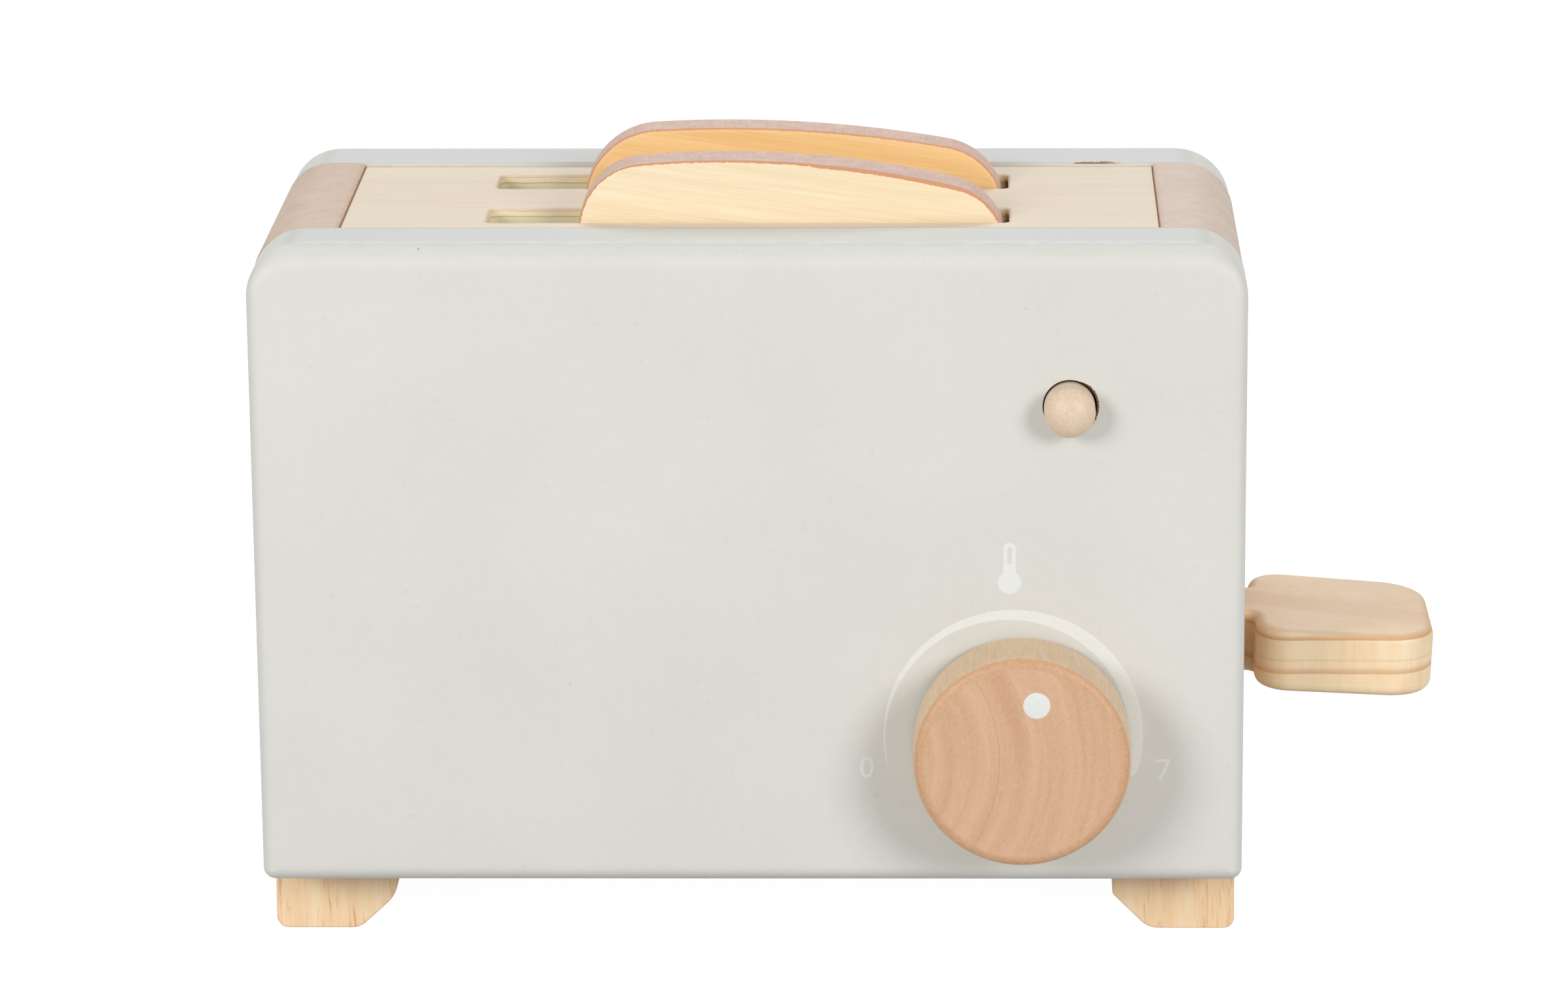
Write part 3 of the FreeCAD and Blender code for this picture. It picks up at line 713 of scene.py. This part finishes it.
def turned(name, pale, mid, dark, heart, line_radius):
    """The knob's wood: curved growth bands over the face, paler on the rounded rim."""
    f = Finish(name)
    at = f.around(KNOB_X, 0, KNOB_Z)
    y, z = f.axes(at)[1:]
    from_heart = f.radius(f.around(KNOB_X + heart[0], 0, KNOB_Z + heart[1]), y=False)
    wander = f.plus(from_heart, f.times(f.noise(at, 1 / 9, 2, 0.5), 1.4))
    fibre = f.fibres((0.4, 7, 0.4), 4, 0.65)
    spin = f.noise(f.joined(wander, 0.0, f.times(z, 0.05)), 1 / 3.2, 4, 0.6)
    cross = f.fibres((0.35, 4, 1.3), 4, 0.65, turn=(0, -30, 0))
    tone = f.weigh((spin, 0.5), (cross, 0.28), (fibre, 0.22))
    face = f.ramp(tone, (0.38, dark), (0.50, mid), (0.64, pale))
    ring = f.away(wander, line_radius)
    face = f.mix(f.times(f.fall(ring, 0.03, 0.30), 0.28), face, (190, 130, 92))
    out = f.radius(at, y=False)
    edge = f.span(out, KNOB_R - KNOB_ROUND - 0.4, KNOB_R - KNOB_ROUND + 0.5)
    lip = f.ramp(f.noise(at, 1 / 0.7, 4, 0.7), (0.36, (206, 159, 121)), (0.64, (220, 175, 137)))
    side = f.ramp(f.fibres((0.8, 6, 0.8), 4, 0.6, start=(KNOB_X, 0, KNOB_Z)),
                  (0.3, (218, 188, 152)), (0.7, (232, 205, 171)))
    depth = f.minus(y, KNOB_FACE)
    base = f.mix(edge, face, f.mix(f.span(depth, 0.7, 1.4), lip, side))
    return f.done(base, f.dull(fibre, 0.40, 0.52),
                  ((spin, 0.02, 0.2), (f.noise(at, 1 / 0.9, 4, 0.65), 0.03, 0.3), (fibre, 0.03, 0.3)),
                  gloss=0.45)


def button_wood():
    """Turned end grain with fine rings round the middle."""
    f = Finish("button_wood")
    at = f.around(BUTTON_X, 0, BUTTON_Z)
    out = f.radius(at, y=False)
    wave = f.do("SINE", f.times(f.plus(out, f.times(f.noise(at, 1 / 3, 2, 0.5), 0.5)), 23.0))
    fibre = f.fibres((0.5, 5, 0.5), 4, 0.6, start=(BUTTON_X, 0, BUTTON_Z))
    tone = f.weigh((fibre, 0.7), (wave, 0.03))
    base = f.ramp(f.plus(tone, 0.12), (0.32, (223, 196, 168)), (0.66, (236, 216, 192)))
    return f.done(base, f.dull(fibre, 0.38, 0.50), ((wave, 0.012, 0.35), (fibre, 0.03, 0.3)), gloss=0.45)


def rubberwood():
    """Foot wood: short brown dashes up and down."""
    f = Finish("foot_wood")
    fibre = f.fibres((0.7, 0.7, 12), 4, 0.6)
    band = f.fibres((3.2, 6, 40), 3, 0.5, warp=0.3)
    base = f.ramp(f.weigh((fibre, 0.35), (band, 0.65)), (0.34, (248, 208, 162)), (0.62, (254, 227, 189)))
    dash = f.flecks((2.1, 3.0, 9), (0, 3, 0))
    thin = f.fibres((0.6, 3, 7), 3, 0.6, warp=0.3, turn=(0, 3, 0))
    mark = f.times(f.span(thin, 0.54, 0.68), f.span(dash[0], 0.25, 0.75, 1.0, 0.25))
    base = f.mix(f.times(mark, 0.6), base, (214, 150, 92))
    return f.done(base, f.dull(fibre, 0.50, 0.64), ((fibre, 0.05, 0.4), (thin, 0.05, 0.3)), gloss=0.38)


def hidden_wood(name, axis="x"):
    """Plain sawn wood inside the case, whose growth rings run round a line outside the board."""
    f = Finish(name)
    at = f.around()
    from_heart = f.radius(f.around(0, 240, -180), x=axis != "x", z=axis != "z")
    wander = f.times(f.noise(at, 1 / 14, 2, 0.5), 2.2)
    phase = f.do("FRACT", f.do("DIVIDE", f.plus(from_heart, wander), 6.5))
    late = f.band(phase, 0.35, 0.92, 0.92, 1.0)
    faint = f.span(f.noise(at, 1 / 11, 2, 0.5), 0.35, 0.65, 0.15, 1.0)
    sizes = {"x": (22, 0.45, 0.45), "z": (0.4, 0.4, 22)}[axis]
    fibre = f.fibres(sizes, 4, 0.65)
    base = f.ramp(f.weigh((fibre, 0.6), (f.noise(at, 1 / 16, 2, 0.5), 0.4)),
                  (0.30, (222, 196, 158)), (0.68, (236, 216, 184)))
    base = f.mix(f.times(late, f.times(faint, 0.5)), base, (190, 152, 108))
    speck = f.flecks(tuple(size / 0.8 for size in sizes))
    base = f.mix(f.times(f.fall(speck[0], 0.12, 0.28), 0.1), base, (190, 152, 108))
    return f.done(base, f.dull(fibre, 0.62, 0.76), ((fibre, 0.06, 0.5), (speck[0], 0.04, 0.4)),
                  gloss=0.35)


def steel():
    f = Finish("steel")
    at = f.around()
    drawn = f.fibres((0.25, 0.25, 6), 3, 0.6)
    smudge = f.noise(at, 1 / 4, 3, 0.6)
    base = f.ramp(smudge, (0.3, (176, 177, 180)), (0.7, (206, 206, 208)))
    return f.done(base, f.dull(drawn, 0.22, 0.38), ((drawn, 0.01, 0.4),), metal=1.0)


def print_ink():
    """White screen print, slightly uneven."""
    f = Finish("white_print")
    at = f.around()
    grainy = f.noise(at, 1 / 0.3, 4, 0.7)
    base = f.ramp(grainy, (0.30, (227, 230, 225)), (0.62, (238, 240, 236)))
    pin = f.cells(at, 1 / 0.7)
    base = f.mix(f.times(f.fall(pin[0], 0.05, 0.16), 0.25), base, (205, 205, 198))
    return f.done(base, f.dull(grainy, 0.42, 0.55), ((grainy, 0.01, 0.4),), gloss=0.4)


grey_paint = paint()
left_wood = end_grain("end_wood_left", (-112, 22, 0), (223, 202, 183), (200, 177, 158), (176, 142, 120))
right_wood = end_grain("end_wood_right", (118, -58, 0), (227, 210, 196), (207, 187, 173), (184, 152, 132))
ply = plywood()
pale_bread = bread("pale_bread", (252, 238, 208), (242, 219, 181),
                   ((211, 160, 132), (218, 152, 104)), 0.27, 1.0, (250, 230, 194))
# The back slice is a darker, more orange copy of the pale slice: painted shade and painted reflected light
# from the front slice.
toasted_bread = bread("toasted_bread", (246, 208, 152), (232, 188, 124),
                      ((214, 160, 128), (224, 160, 114)), 0.26, 0.0, (245, 206, 156))
lever_wood = pine()
knob_wood = turned("knob_wood", (226, 188, 155), (217, 176, 142), (207, 160, 126), (-33.0, 0.0), 29.7)
round_wood = button_wood()
foot_wood = rubberwood()
inner_wood = hidden_wood("inner_wood")
latch_wood = hidden_wood("latch_wood", "z")
metal = steel()
ink = print_ink()


# Case

def between(low, high, share):
    share = min(max(share, 0.0), 1.0)
    return low + (high - low) * share * share * (3 - 2 * share)


def softened(radius, inset):
    """How far a rounded edge stays below its face, at an inset."""
    left_over = radius - min(inset, radius)
    return radius - math.sqrt(radius ** 2 - left_over ** 2)


def panel_round(point, wide):
    """The panels' outer edges: wide rounding along the top and bottom, narrow at the sides."""
    side = CASE_HALF - abs(point.x)
    nearest = min(CEILING - point.y, point.y - FLOOR)
    return between(PANEL_SIDE_ROUND, wide, 0.5 + (side - nearest) / 14.0)


def panel(name, face, thicker, narrower, right_r, wide):
    outline = rounded([
        (-CASE_HALF, FLOOR, PANEL_BOTTOM_R), (CASE_HALF - narrower, FLOOR, PANEL_BOTTOM_R),
        (CASE_HALF - narrower, CEILING, right_r), (-CASE_HALF, CEILING, PANEL_TOP_R),
    ], 14)
    rings = round_sides(INNER_Y - thicker, OUTER_Y, PANEL_SANDED, 0.0, 6)[:7]
    for k in range(13):
        inset = wide * (1 - math.cos(math.pi / 2 * k / 12))
        rings.append((inset, lambda point, i=inset: OUTER_Y - softened(panel_round(point, wide), i)))
    return prism(name, outline, rings, lambda u, v, h: world(u, face * h, v))


def bore(x, z, radius, flare):
    """Cutter from the front panel's outer face to its inner face."""
    return prism("bore", circle(x, z, radius), flared(INNER_Y, OUTER_Y, 0.0, flare),
                 lambda u, v, h: world(u, -h, v))


front = panel("front_board", -1, 0.7, 0.0, PANEL_TOP_R, PANEL_ROUND)
cut(front, bore(BUTTON_HOLE_X, BUTTON_HOLE_Z, BUTTON_HOLE_R, 0.12), bore(KNOB_X, KNOB_Z, AXLE_R + 0.08, 0.0))
dress(front, grey_paint, "grey_paint", "case", "front_panel")
back = panel("back_board", 1, 0.0, 0.3, 10.9, 3.0)
dress(back, grey_paint, "grey_paint", "case", "back_panel")


def end_block(name, end, top_r):
    outline = rounded([
        (end * BLOCK_IN, FLOOR, 0.2), (end * BLOCK_FACE, FLOOR, 0.6),
        (end * BLOCK_FACE, BLOCK_TOP, top_r), (end * BLOCK_IN, BLOCK_TOP, BLOCK_SOFT_R),
    ], 14)
    return prism(name, outline, [(0.0, -INNER_Y), (0.0, INNER_Y)], on_edge)


def bar_edge(x, side):
    return BAR_Z + side * LEVER_T / 2 / math.cos(SAG) - x * math.tan(SAG)


left_end = end_block("left_end", -1, 9.0)
dress(left_end, left_wood, "end_wood", "case", "left_end_block")
right_end = end_block("right_end", 1, 10.2)
lever_slot = prism("lever_slot", rounded(box_corners(
    NECK_Y - NECK_W / 2 - 1.0, bar_edge(BLOCK_OUT, -1) - TRAVEL - 0.3,
    NECK_Y + NECK_W / 2 + 1.0, bar_edge(BLOCK_IN, 1) + 0.3, 2.0), 8),
    flared(BLOCK_IN, BLOCK_FACE, 0.3, 0.5), lambda u, v, h: world(h, u, v))
cut(right_end, lever_slot)
dress(right_end, right_wood, "end_wood", "case", "right_end_block")

board_outline = rounded(box_corners(
    -BLOCK_IN + JOINT, -INNER_Y + JOINT, BLOCK_IN - JOINT, INNER_Y - JOINT, 0.3), 4)
board = prism("slotted_board", board_outline, round_sides(BOARD_LOW, BOARD_TOP, 0.2, 0.25, 3), world)
slots = []
for side in (-1, 1):
    slot_y = SLOT_BACK + side * SLICE_Y
    corners = box_corners(SLOT_LEFT, slot_y - SLOT_W / 2, SLOT_RIGHT - 0.3, slot_y + SLOT_W / 2, SLOT_R)
    slots.append(prism("slot", rounded(corners, 8), flared(BOARD_LOW, BOARD_TOP, 0.2, SLOT_SANDED), world))
cut(board, *slots)
dress(board, ply, "board_wood", "case", "top_board")

FOOT_W = 23.3
FOOT_SIDE_H = 7.1
for side, name, side_r, slant_w, slant_r, toe_r in (
    (-1, "left_foot", 6.0, 7.4, 3.8, 2.3),
    (1, "right_foot", 1.4, 6.9, 4.5, 2.0),
):
    inner = BLOCK_OUT - FOOT_W
    corners = [
        (side * BLOCK_OUT, FLOOR, 0.3), (side * inner, FLOOR, 0.3),
        (side * inner, FLOOR - FOOT_SIDE_H, side_r),
        (side * (inner + slant_w), 0.0, slant_r), (side * BLOCK_OUT, 0.0, toe_r),
    ]
    foot = prism(name + "_rail", rounded(corners, 8), round_sides(-INNER_Y, INNER_Y, 0.4, 0.4, 3), on_edge)
    dress(foot, foot_wood, "foot_wood", "case", name)


# Carriage

low = BAR_Z - LEVER_T / 2
neck_low = NECK_Y - NECK_W / 2 - 0.6
neck_high = NECK_Y + NECK_W / 2
tongue_in = BLOCK_IN - 34.6


def lever_round(point):
    """The lever's edges: sharp on the neck and tongue, sanded on the paddle."""
    return between(0.4, LEVER_ROUND, (point.x - PADDLE_IN + 3.0) / 3.0)


lever_rings = []
for k in range(9):
    inset = LEVER_ROUND * (1 - math.cos(math.pi / 2 * k / 8))
    lever_rings.insert(0, (inset, lambda point, i=inset: low + softened(lever_round(point), i)))
    lever_rings.append((inset, lambda point, i=inset: low + LEVER_T - softened(lever_round(point), i)))
paddle = prism("paddle", rounded([
    (tongue_in, neck_low, 0.8), (PADDLE_IN + 0.4, neck_low, 2.6), (PADDLE_IN + 0.8, -PADDLE_HALF, 6.6),
    (PADDLE_OUT, -PADDLE_HALF, 9.0), (PADDLE_OUT - 0.2, PADDLE_HALF - 2.3, 10.0),
    (PADDLE_IN, PADDLE_HALF + 1.6, 6.6), (PADDLE_IN, neck_high, 2.6), (tongue_in, neck_high, 0.8),
], 12), lever_rings, leaning)
dress(paddle, lever_wood, "lever_wood", "carriage", "lever")


LOW_SHOULDER_R = 13.2
SLICE_FOOT_R = 7.0
SLICE_HALF_T = 4.5


def slice_outline(left, right, left_r, left_z, right_z, crown_r):
    """Outline of a slice: two shoulders, a flat crown that touches both, and round feet."""
    left_c = Vector((left + left_r, FLOOR + left_z))
    right_c = Vector((right - LOW_SHOULDER_R, FLOOR + right_z))
    span = (right_c - left_c).length
    to_left = crown_r - left_r
    to_right = crown_r - LOW_SHOULDER_R
    along = (to_left ** 2 - to_right ** 2 + span ** 2) / (2 * span)
    down = math.sqrt(to_left ** 2 - along ** 2)
    way = (right_c - left_c).normalized()
    crown_c = left_c + way * along + Vector((way.y, -way.x)) * down
    toward_left = math.atan2(left_c.y - crown_c.y, left_c.x - crown_c.x)
    toward_right = math.atan2(right_c.y - crown_c.y, right_c.x - crown_c.x)
    foot = SLICE_FOOT_R
    bottom = BAR_Z + LEVER_T / 2 + 9.0 - 4.0 + 0.05    # shelf's thickness, groove's depth and play
    arcs = [
        (right_c, LOW_SHOULDER_R, 0.0, toward_right, 22), (crown_c, crown_r, toward_right, toward_left, 48),
        (left_c, left_r, toward_left, math.pi, 22),
        (Vector((left + foot, bottom + foot)), foot, math.pi, 1.5 * math.pi, 8),
        (Vector((right - foot, bottom + foot)), foot, 1.5 * math.pi, 2 * math.pi, 8),
    ]

    def outline(inset=0.0):
        points = []
        for centre, radius, *turn_and_steps in arcs:
            points += arc_points(centre, radius - inset, *turn_and_steps)
        return points

    return outline


def slice_rings(half, soft):
    rings = round_sides(-half, half, soft, soft, 5)
    inner = [1.2, 1.4, 1.6, 1.9, 2.2, 3.0]
    return [(i, -half) for i in reversed(inner)] + rings + [(i, half) for i in inner]


for side, name, node, material, slot_name, soft, moved, curves in (
    (-1, "front_toast", "front_slice", pale_bread, "pale_bread", 0.55, 0.0, (12.8, 119.8, 118.15, 190.0)),
    (1, "back_toast", "back_slice", toasted_bread, "toasted_bread", 0.9, 0.5, (14.5, 118.35, 119.05, 245.0)),
):
    left, right = SLOT_LEFT + 13.7 - moved, SLOT_RIGHT - 4.2 - moved
    toast = prism(name, slice_outline(left, right, *curves), slice_rings(SLICE_HALF_T, soft),
                  lambda u, v, h, s=side: leaning(u, s * SLICE_Y + h, v))
    dress(toast, material, slot_name, node, node)


# Knob and button

def about(x, z):
    """Turned pieces with their axis along Y; heights are Y places."""
    return lambda u, v, h: world(x + u, h, z + v)


def arc_profile(centre_r, centre_h, radius, start, end, steps):
    """Part of a turned profile, from an arc with its ends in degrees."""
    return arc_points(Vector((centre_r, centre_h)), radius, math.radians(start), math.radians(end), steps)


INK_STEP = 0.03
knob_face = KNOB_FACE + INK_STEP
knob_profile = [(0.0, knob_face), (8.0, knob_face), (14.0, knob_face)]
knob_profile += arc_profile(KNOB_R - KNOB_ROUND, knob_face + KNOB_ROUND, KNOB_ROUND, -90, 0, 10)
knob_profile += [(KNOB_R, KNOB_BACK - 5.0)]
knob_profile += arc_profile(KNOB_R - 0.8, KNOB_BACK - 0.8, 0.8, 0, 90, 5)
knob_profile += [(AXLE_R + 0.1, KNOB_BACK), (AXLE_R + 0.1, KNOB_FACE + 3.7), (0.0, KNOB_FACE + 3.7)]
knob = lathe("turned_knob", knob_profile, about(KNOB_X, KNOB_Z), 160)
dress(knob, knob_wood, "knob_wood", "knob", "knob")

DOT_R = 2.5
dot = lathe("knob_dot", [
    (0.0, KNOB_FACE), (DOT_R - 0.08, KNOB_FACE), (DOT_R, KNOB_FACE + 0.02), (DOT_R, knob_face + 0.2),
    (0.0, knob_face + 0.2),
], about(KNOB_X + 2.7, FLOOR + 39.8), 96)
dress(dot, ink, "grey_paint", "knob")

edge_out = BUTTON_R - BUTTON_EDGE_R
edge_up = math.sqrt((BUTTON_DOME_R - BUTTON_EDGE_R) ** 2 - edge_out ** 2)
edge_turn = -math.degrees(math.atan2(edge_up, edge_out))
button_profile = arc_profile(0.0, BUTTON_TIP + BUTTON_DOME_R, BUTTON_DOME_R, -90, edge_turn, 12)
button_profile += arc_profile(
    edge_out, BUTTON_TIP + BUTTON_DOME_R - edge_up, BUTTON_EDGE_R, edge_turn, 0, 8)[1:]
button_profile += [(BUTTON_R, BUTTON_TIP + 6.0)]
# Stem, flange and pusher behind the panel, from its inner face
button_profile += [(radius, -INNER_Y + behind) for radius, behind in (
    (BUTTON_R, 2.45), (7.0, 2.5), (7.0, 4.5), (2.0, 4.55), (2.0, 7.2), (1.7, 7.5), (0.0, 7.5),
)]
button = lathe("turned_button", button_profile, about(BUTTON_X, BUTTON_Z), 96)
dress(button, round_wood, "knob_wood", "button", "button")


# Prints on the front

def printed(name, outline, holes=()):
    """A flat print on the front panel, from an outline with holes."""
    def flat(label, shape, low_h, high_h):
        return prism(label, shape, [(0.0, low_h), (0.0, high_h)], lambda u, v, h: world(u, -OUTER_Y - h, v))
    piece = flat(name, outline, -0.05, INK_STEP)
    if holes:
        cut(piece, *[flat("gap", hole, -1.0, 1.0) for hole in holes])
    return piece


def wobble(points, size):
    """Slightly rough edge of a screen print, by formula."""
    out = []
    for i, point in enumerate(points):
        before = points[i - 1]
        after = points[(i + 1) % len(points)]
        way = (after - before).normalized() if (after - before).length else Vector((1, 0))
        shift = size * (math.sin(i * 2.7) * 0.6 + math.sin(i * 1.31 + 1.2) * 0.4)
        out.append(point + Vector((way.y, -way.x)) * shift)
    return out


ARC_X = 49.3
ARC_Z = FLOOR + 29.56
ARC_R = 24.35
ARC_START = math.radians(202.0)
ARC_END = math.radians(-20.6)
ARC_STEPS = 260
ARC_CAP = 1.75    # length of the round end


def arc_outline(inset=0.0):
    """The dial's arc, which grows from nothing to its round end."""
    outer = []
    inner = []
    for k in range(ARC_STEPS + 1):
        t = k / ARC_STEPS
        angle = ARC_START + (ARC_END - ARC_START) * t
        width = 3.85 * t - 4.17 * max(t - 0.5, 0.0) ** 2
        left_over = (1 - t) * (ARC_START - ARC_END) * ARC_R
        middle = ARC_R - width / 2
        half = width / 2
        if left_over < ARC_CAP:
            half *= math.sqrt(max(1 - ((ARC_CAP - left_over) / ARC_CAP) ** 2, 0.0))
        way = Vector((math.cos(angle), math.sin(angle)))
        outer.append(Vector((ARC_X, ARC_Z)) + way * (middle + half))
        inner.append(Vector((ARC_X, ARC_Z)) + way * (middle - half - 0.02))
    return wobble(outer + inner[::-1], 0.03)


dial_arc = printed("dial_arc", arc_outline)


GAUGE_X = 48.55
GAUGE_TOP = FLOOR + 66.88
BULB_R = 2.2
STEM_R = 1.15
BORE_R = 0.42


def thermometer(inset=0.0):
    """A bulb with a round-topped stem."""
    meet = math.asin(STEM_R / BULB_R)
    bulb = arc_points(Vector((GAUGE_X, FLOOR + 59.25)), BULB_R, math.pi / 2 + meet, 2.5 * math.pi - meet, 48)
    stem = arc_points(Vector((GAUGE_X, GAUGE_TOP - STEM_R)), STEM_R, 0.0, math.pi, 16)
    return wobble(bulb + stem, 0.02)


gauge = printed("thermometer", thermometer, [
    rounded(box_corners(GAUGE_X - BORE_R, FLOOR + 62.64, GAUGE_X + BORE_R, FLOOR + 66.1, 0.41), 6),
])

ZERO_X = 21.8
ZERO_Z = FLOOR + 23.13
ZERO_SQUARE = 0.9    # below 1 the ring is a little squarer than an ellipse


def zero_ring(half_w, half_h):
    def outline(inset=0.0):
        points = []
        for k in range(64):
            angle = 2 * math.pi * k / 64
            c, s = math.cos(angle), math.sin(angle)
            points.append(Vector((ZERO_X + half_w * math.copysign(abs(c) ** ZERO_SQUARE, c),
                                  ZERO_Z + half_h * math.copysign(abs(s) ** ZERO_SQUARE, s))))
        return points
    return outline


zero = printed("figure_zero", zero_ring(1.29, 2.06), [zero_ring(0.66, 1.45)])


def seven(inset=0.0):
    left, right, low_z, high_z, stroke = 76.2, 78.82, FLOOR + 20.57, FLOOR + 24.74, 0.58
    return [Vector(p) for p in (
        (left, high_z), (left, high_z - stroke), (right - 0.82, high_z - stroke), (left + 0.24, low_z + 0.1),
        (left + 0.86, low_z), (right, high_z - 0.4), (right, high_z),
    )]


figure_seven = printed("figure_seven", seven)
for piece in (dial_arc, gauge, zero, figure_seven):
    dress(piece, ink, "grey_paint", "case")


# Springs

def coil_path(outer_d, wire_d, length, turns, place, steps=36):
    """Middle of a wire that makes one closed turn at each end."""
    radius = (outer_d - wire_d) / 2
    closed = wire_d + 0.1
    pitch = (length - wire_d - 2 * closed) / turns
    height = wire_d / 2
    points = []
    total = steps * (turns + 2)
    for i in range(total + 1):
        angle = 2 * math.pi * i / steps
        points.append(place(radius * math.cos(angle), radius * math.sin(angle), height))
        in_closed = i < steps or i >= steps * (turns + 1)
        height += (closed if in_closed else pitch) / steps
    return points


for name in ("left_lift_spring", "right_lift_spring"):
    spring_low, spring_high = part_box(name)
    middle = ((spring_low + spring_high) / 2 - MIDDLE) / MM
    tall = (spring_high.z - spring_low.z) / MM
    wire = coil_path(LIFT_COIL_D, LIFT_WIRE_D, tall, LIFT_TURNS,
                     lambda u, v, h, m=middle.x: world(m + u, v, BASE_TOP + h))
    coil = tube(name + "_wire", wire, LIFT_WIRE_D / 2 * MM, 12)
    dress(coil, metal, "steel", "case", name)
    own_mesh(coil)

spring_low, spring_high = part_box("latch_spring")
middle = ((spring_low + spring_high) / 2 - MIDDLE) / MM
deep = (spring_high.y - spring_low.y) / MM
start_y = (spring_low.y - MIDDLE.y) / MM
# The latch turns about its pin, and its face presses first on the coil's edge farthest from the pin
wire = coil_path(LATCH_COIL_D, LATCH_WIRE_D, deep, LATCH_TURNS,
                 lambda u, v, h: world(middle.x + u, start_y + h, middle.z + v), 28)
coil = tube("latch_spring_wire", wire, LATCH_WIRE_D / 2 * MM, 10)
dress(coil, metal, "steel", "case", "latch_spring")
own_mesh(coil)


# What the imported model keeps

KEPT = {
    "base_board": inner_wood, "bread_shelf": inner_wood, "top_board_cleats": latch_wood,
    "latch_lever": latch_wood, "latch_bracket": latch_wood, "knob_axle": latch_wood, "latch_pin": metal,
    "left_guide_rod": metal, "right_guide_rod": metal, "lever_screws": metal, "latch_plate": metal,
    "knob_cross_pin": metal,
}
for name, material in KEPT.items():
    node = frame["nodes"][name]
    for place in node.material_slots:
        place.material = material
    weld = node.modifiers.new("weld", "WELD")
    weld.merge_threshold = 0.002 * MM
    soften = node.modifiers.new("soften", "BEVEL")
    soften.width = 0.25 * MM
    soften.segments = 2
    soften.limit_method = "ANGLE"
    soften.angle_limit = math.radians(40)


# Table, light and camera

TABLE_HALF = 6.0    # metres
TABLE_SHARE = 0.80
TABLE_GLOW = 1.22
AMBIENT = 0.435


def seen_directly(tree):
    """1 for what the camera sees, also in metal or through glass; 0 for light that falls on things."""
    path = tree.add("ShaderNodeLightPath").outputs
    seen = path["Is Camera Ray"]
    for ray in ("Is Glossy Ray", "Is Transmission Ray"):
        seen = tree.add("ShaderNodeMath", {0: seen, 1: path[ray]}, operation="MAXIMUM").outputs[0]
    return seen


data = bpy.data.meshes.new("table")
data.from_pydata([(x * TABLE_HALF, y * TABLE_HALF, 0.0) for x, y in ((-1, -1), (1, -1), (1, 1), (-1, 1))],
                 [], [(0, 1, 2, 3)])
floor = placed("table", data)
table = bpy.data.materials.new("table")
tree = Tree(table)
share = tree.add("ShaderNodeMath", {0: seen_directly(tree), 1: TABLE_SHARE}, operation="MULTIPLY").outputs[0]
matt = tree.add("ShaderNodeBsdfDiffuse", {"Color": (0.55, 0.55, 0.55, 1.0)}).outputs[0]
glow = tree.add("ShaderNodeEmission", {"Color": (1.0, 1.0, 1.0, 1.0), "Strength": TABLE_GLOW}).outputs[0]
blend = tree.add("ShaderNodeMixShader", {0: share, 1: matt, 2: glow}).outputs[0]
tree.add("ShaderNodeOutputMaterial", {0: blend})
floor.data.materials.append(table)

sky = bpy.data.worlds.new("studio")
bpy.context.scene.world = sky
tree = Tree(sky)
level = tree.add("ShaderNodeMapRange", {0: seen_directly(tree), "To Min": AMBIENT, "To Max": 1.0}).outputs[0]
ambient = tree.add("ShaderNodeBackground", {"Strength": level}).outputs[0]
tree.add("ShaderNodeOutputWorld", {0: ambient})

# (name, place, diameter, power) in millimetres and watts
LAMPS = (
    ("lamp_left", (-1270, -1495, 820), 800, 17.5),
    ("lamp_right", (1270, -1495, 820), 800, 17.5),
    ("lamp_behind", (0, 1430, 1560), 1200, 17.0),
)
aim = world(0, 0, 70)
for name, place, size, power in LAMPS:
    data = bpy.data.lights.new(name, "AREA")
    data.shape = "DISK"
    data.size = size * MM
    data.energy = power
    lamp = placed(name, data)
    lamp.location = world(*place)
    lamp.rotation_euler = (aim - lamp.location).to_track_quat("-Z", "Y").to_euler()

CAMERA_AT = (41.83, -1185.45, 399.2)
PITCH = math.radians(15.16)
YAW = math.radians(-0.591)
ROLL = math.radians(-0.16)
ahead = Vector((math.sin(YAW) * math.cos(PITCH), math.cos(YAW) * math.cos(PITCH), -math.sin(PITCH)))
level_right = Vector((math.cos(YAW), -math.sin(YAW), 0.0))
level_up = level_right.cross(ahead)
right = level_right * math.cos(ROLL) + level_up * math.sin(ROLL)
up = level_up * math.cos(ROLL) - level_right * math.sin(ROLL)
lens = bpy.data.cameras.new("camera")
lens.sensor_fit = "HORIZONTAL"
lens.sensor_width = 36.0
lens.lens = 146.2
lens.shift_x = -0.0804
lens.shift_y = -0.0022
lens.clip_start = 0.01
lens.clip_end = 50.0
camera = placed("camera", lens)
turn = Matrix((right, up, -ahead)).transposed().to_4x4()
camera.matrix_world = Matrix.Translation(world(*CAMERA_AT)) @ turn
bpy.context.scene.camera = camera
bpy.context.scene.view_settings.view_transform = "Standard"
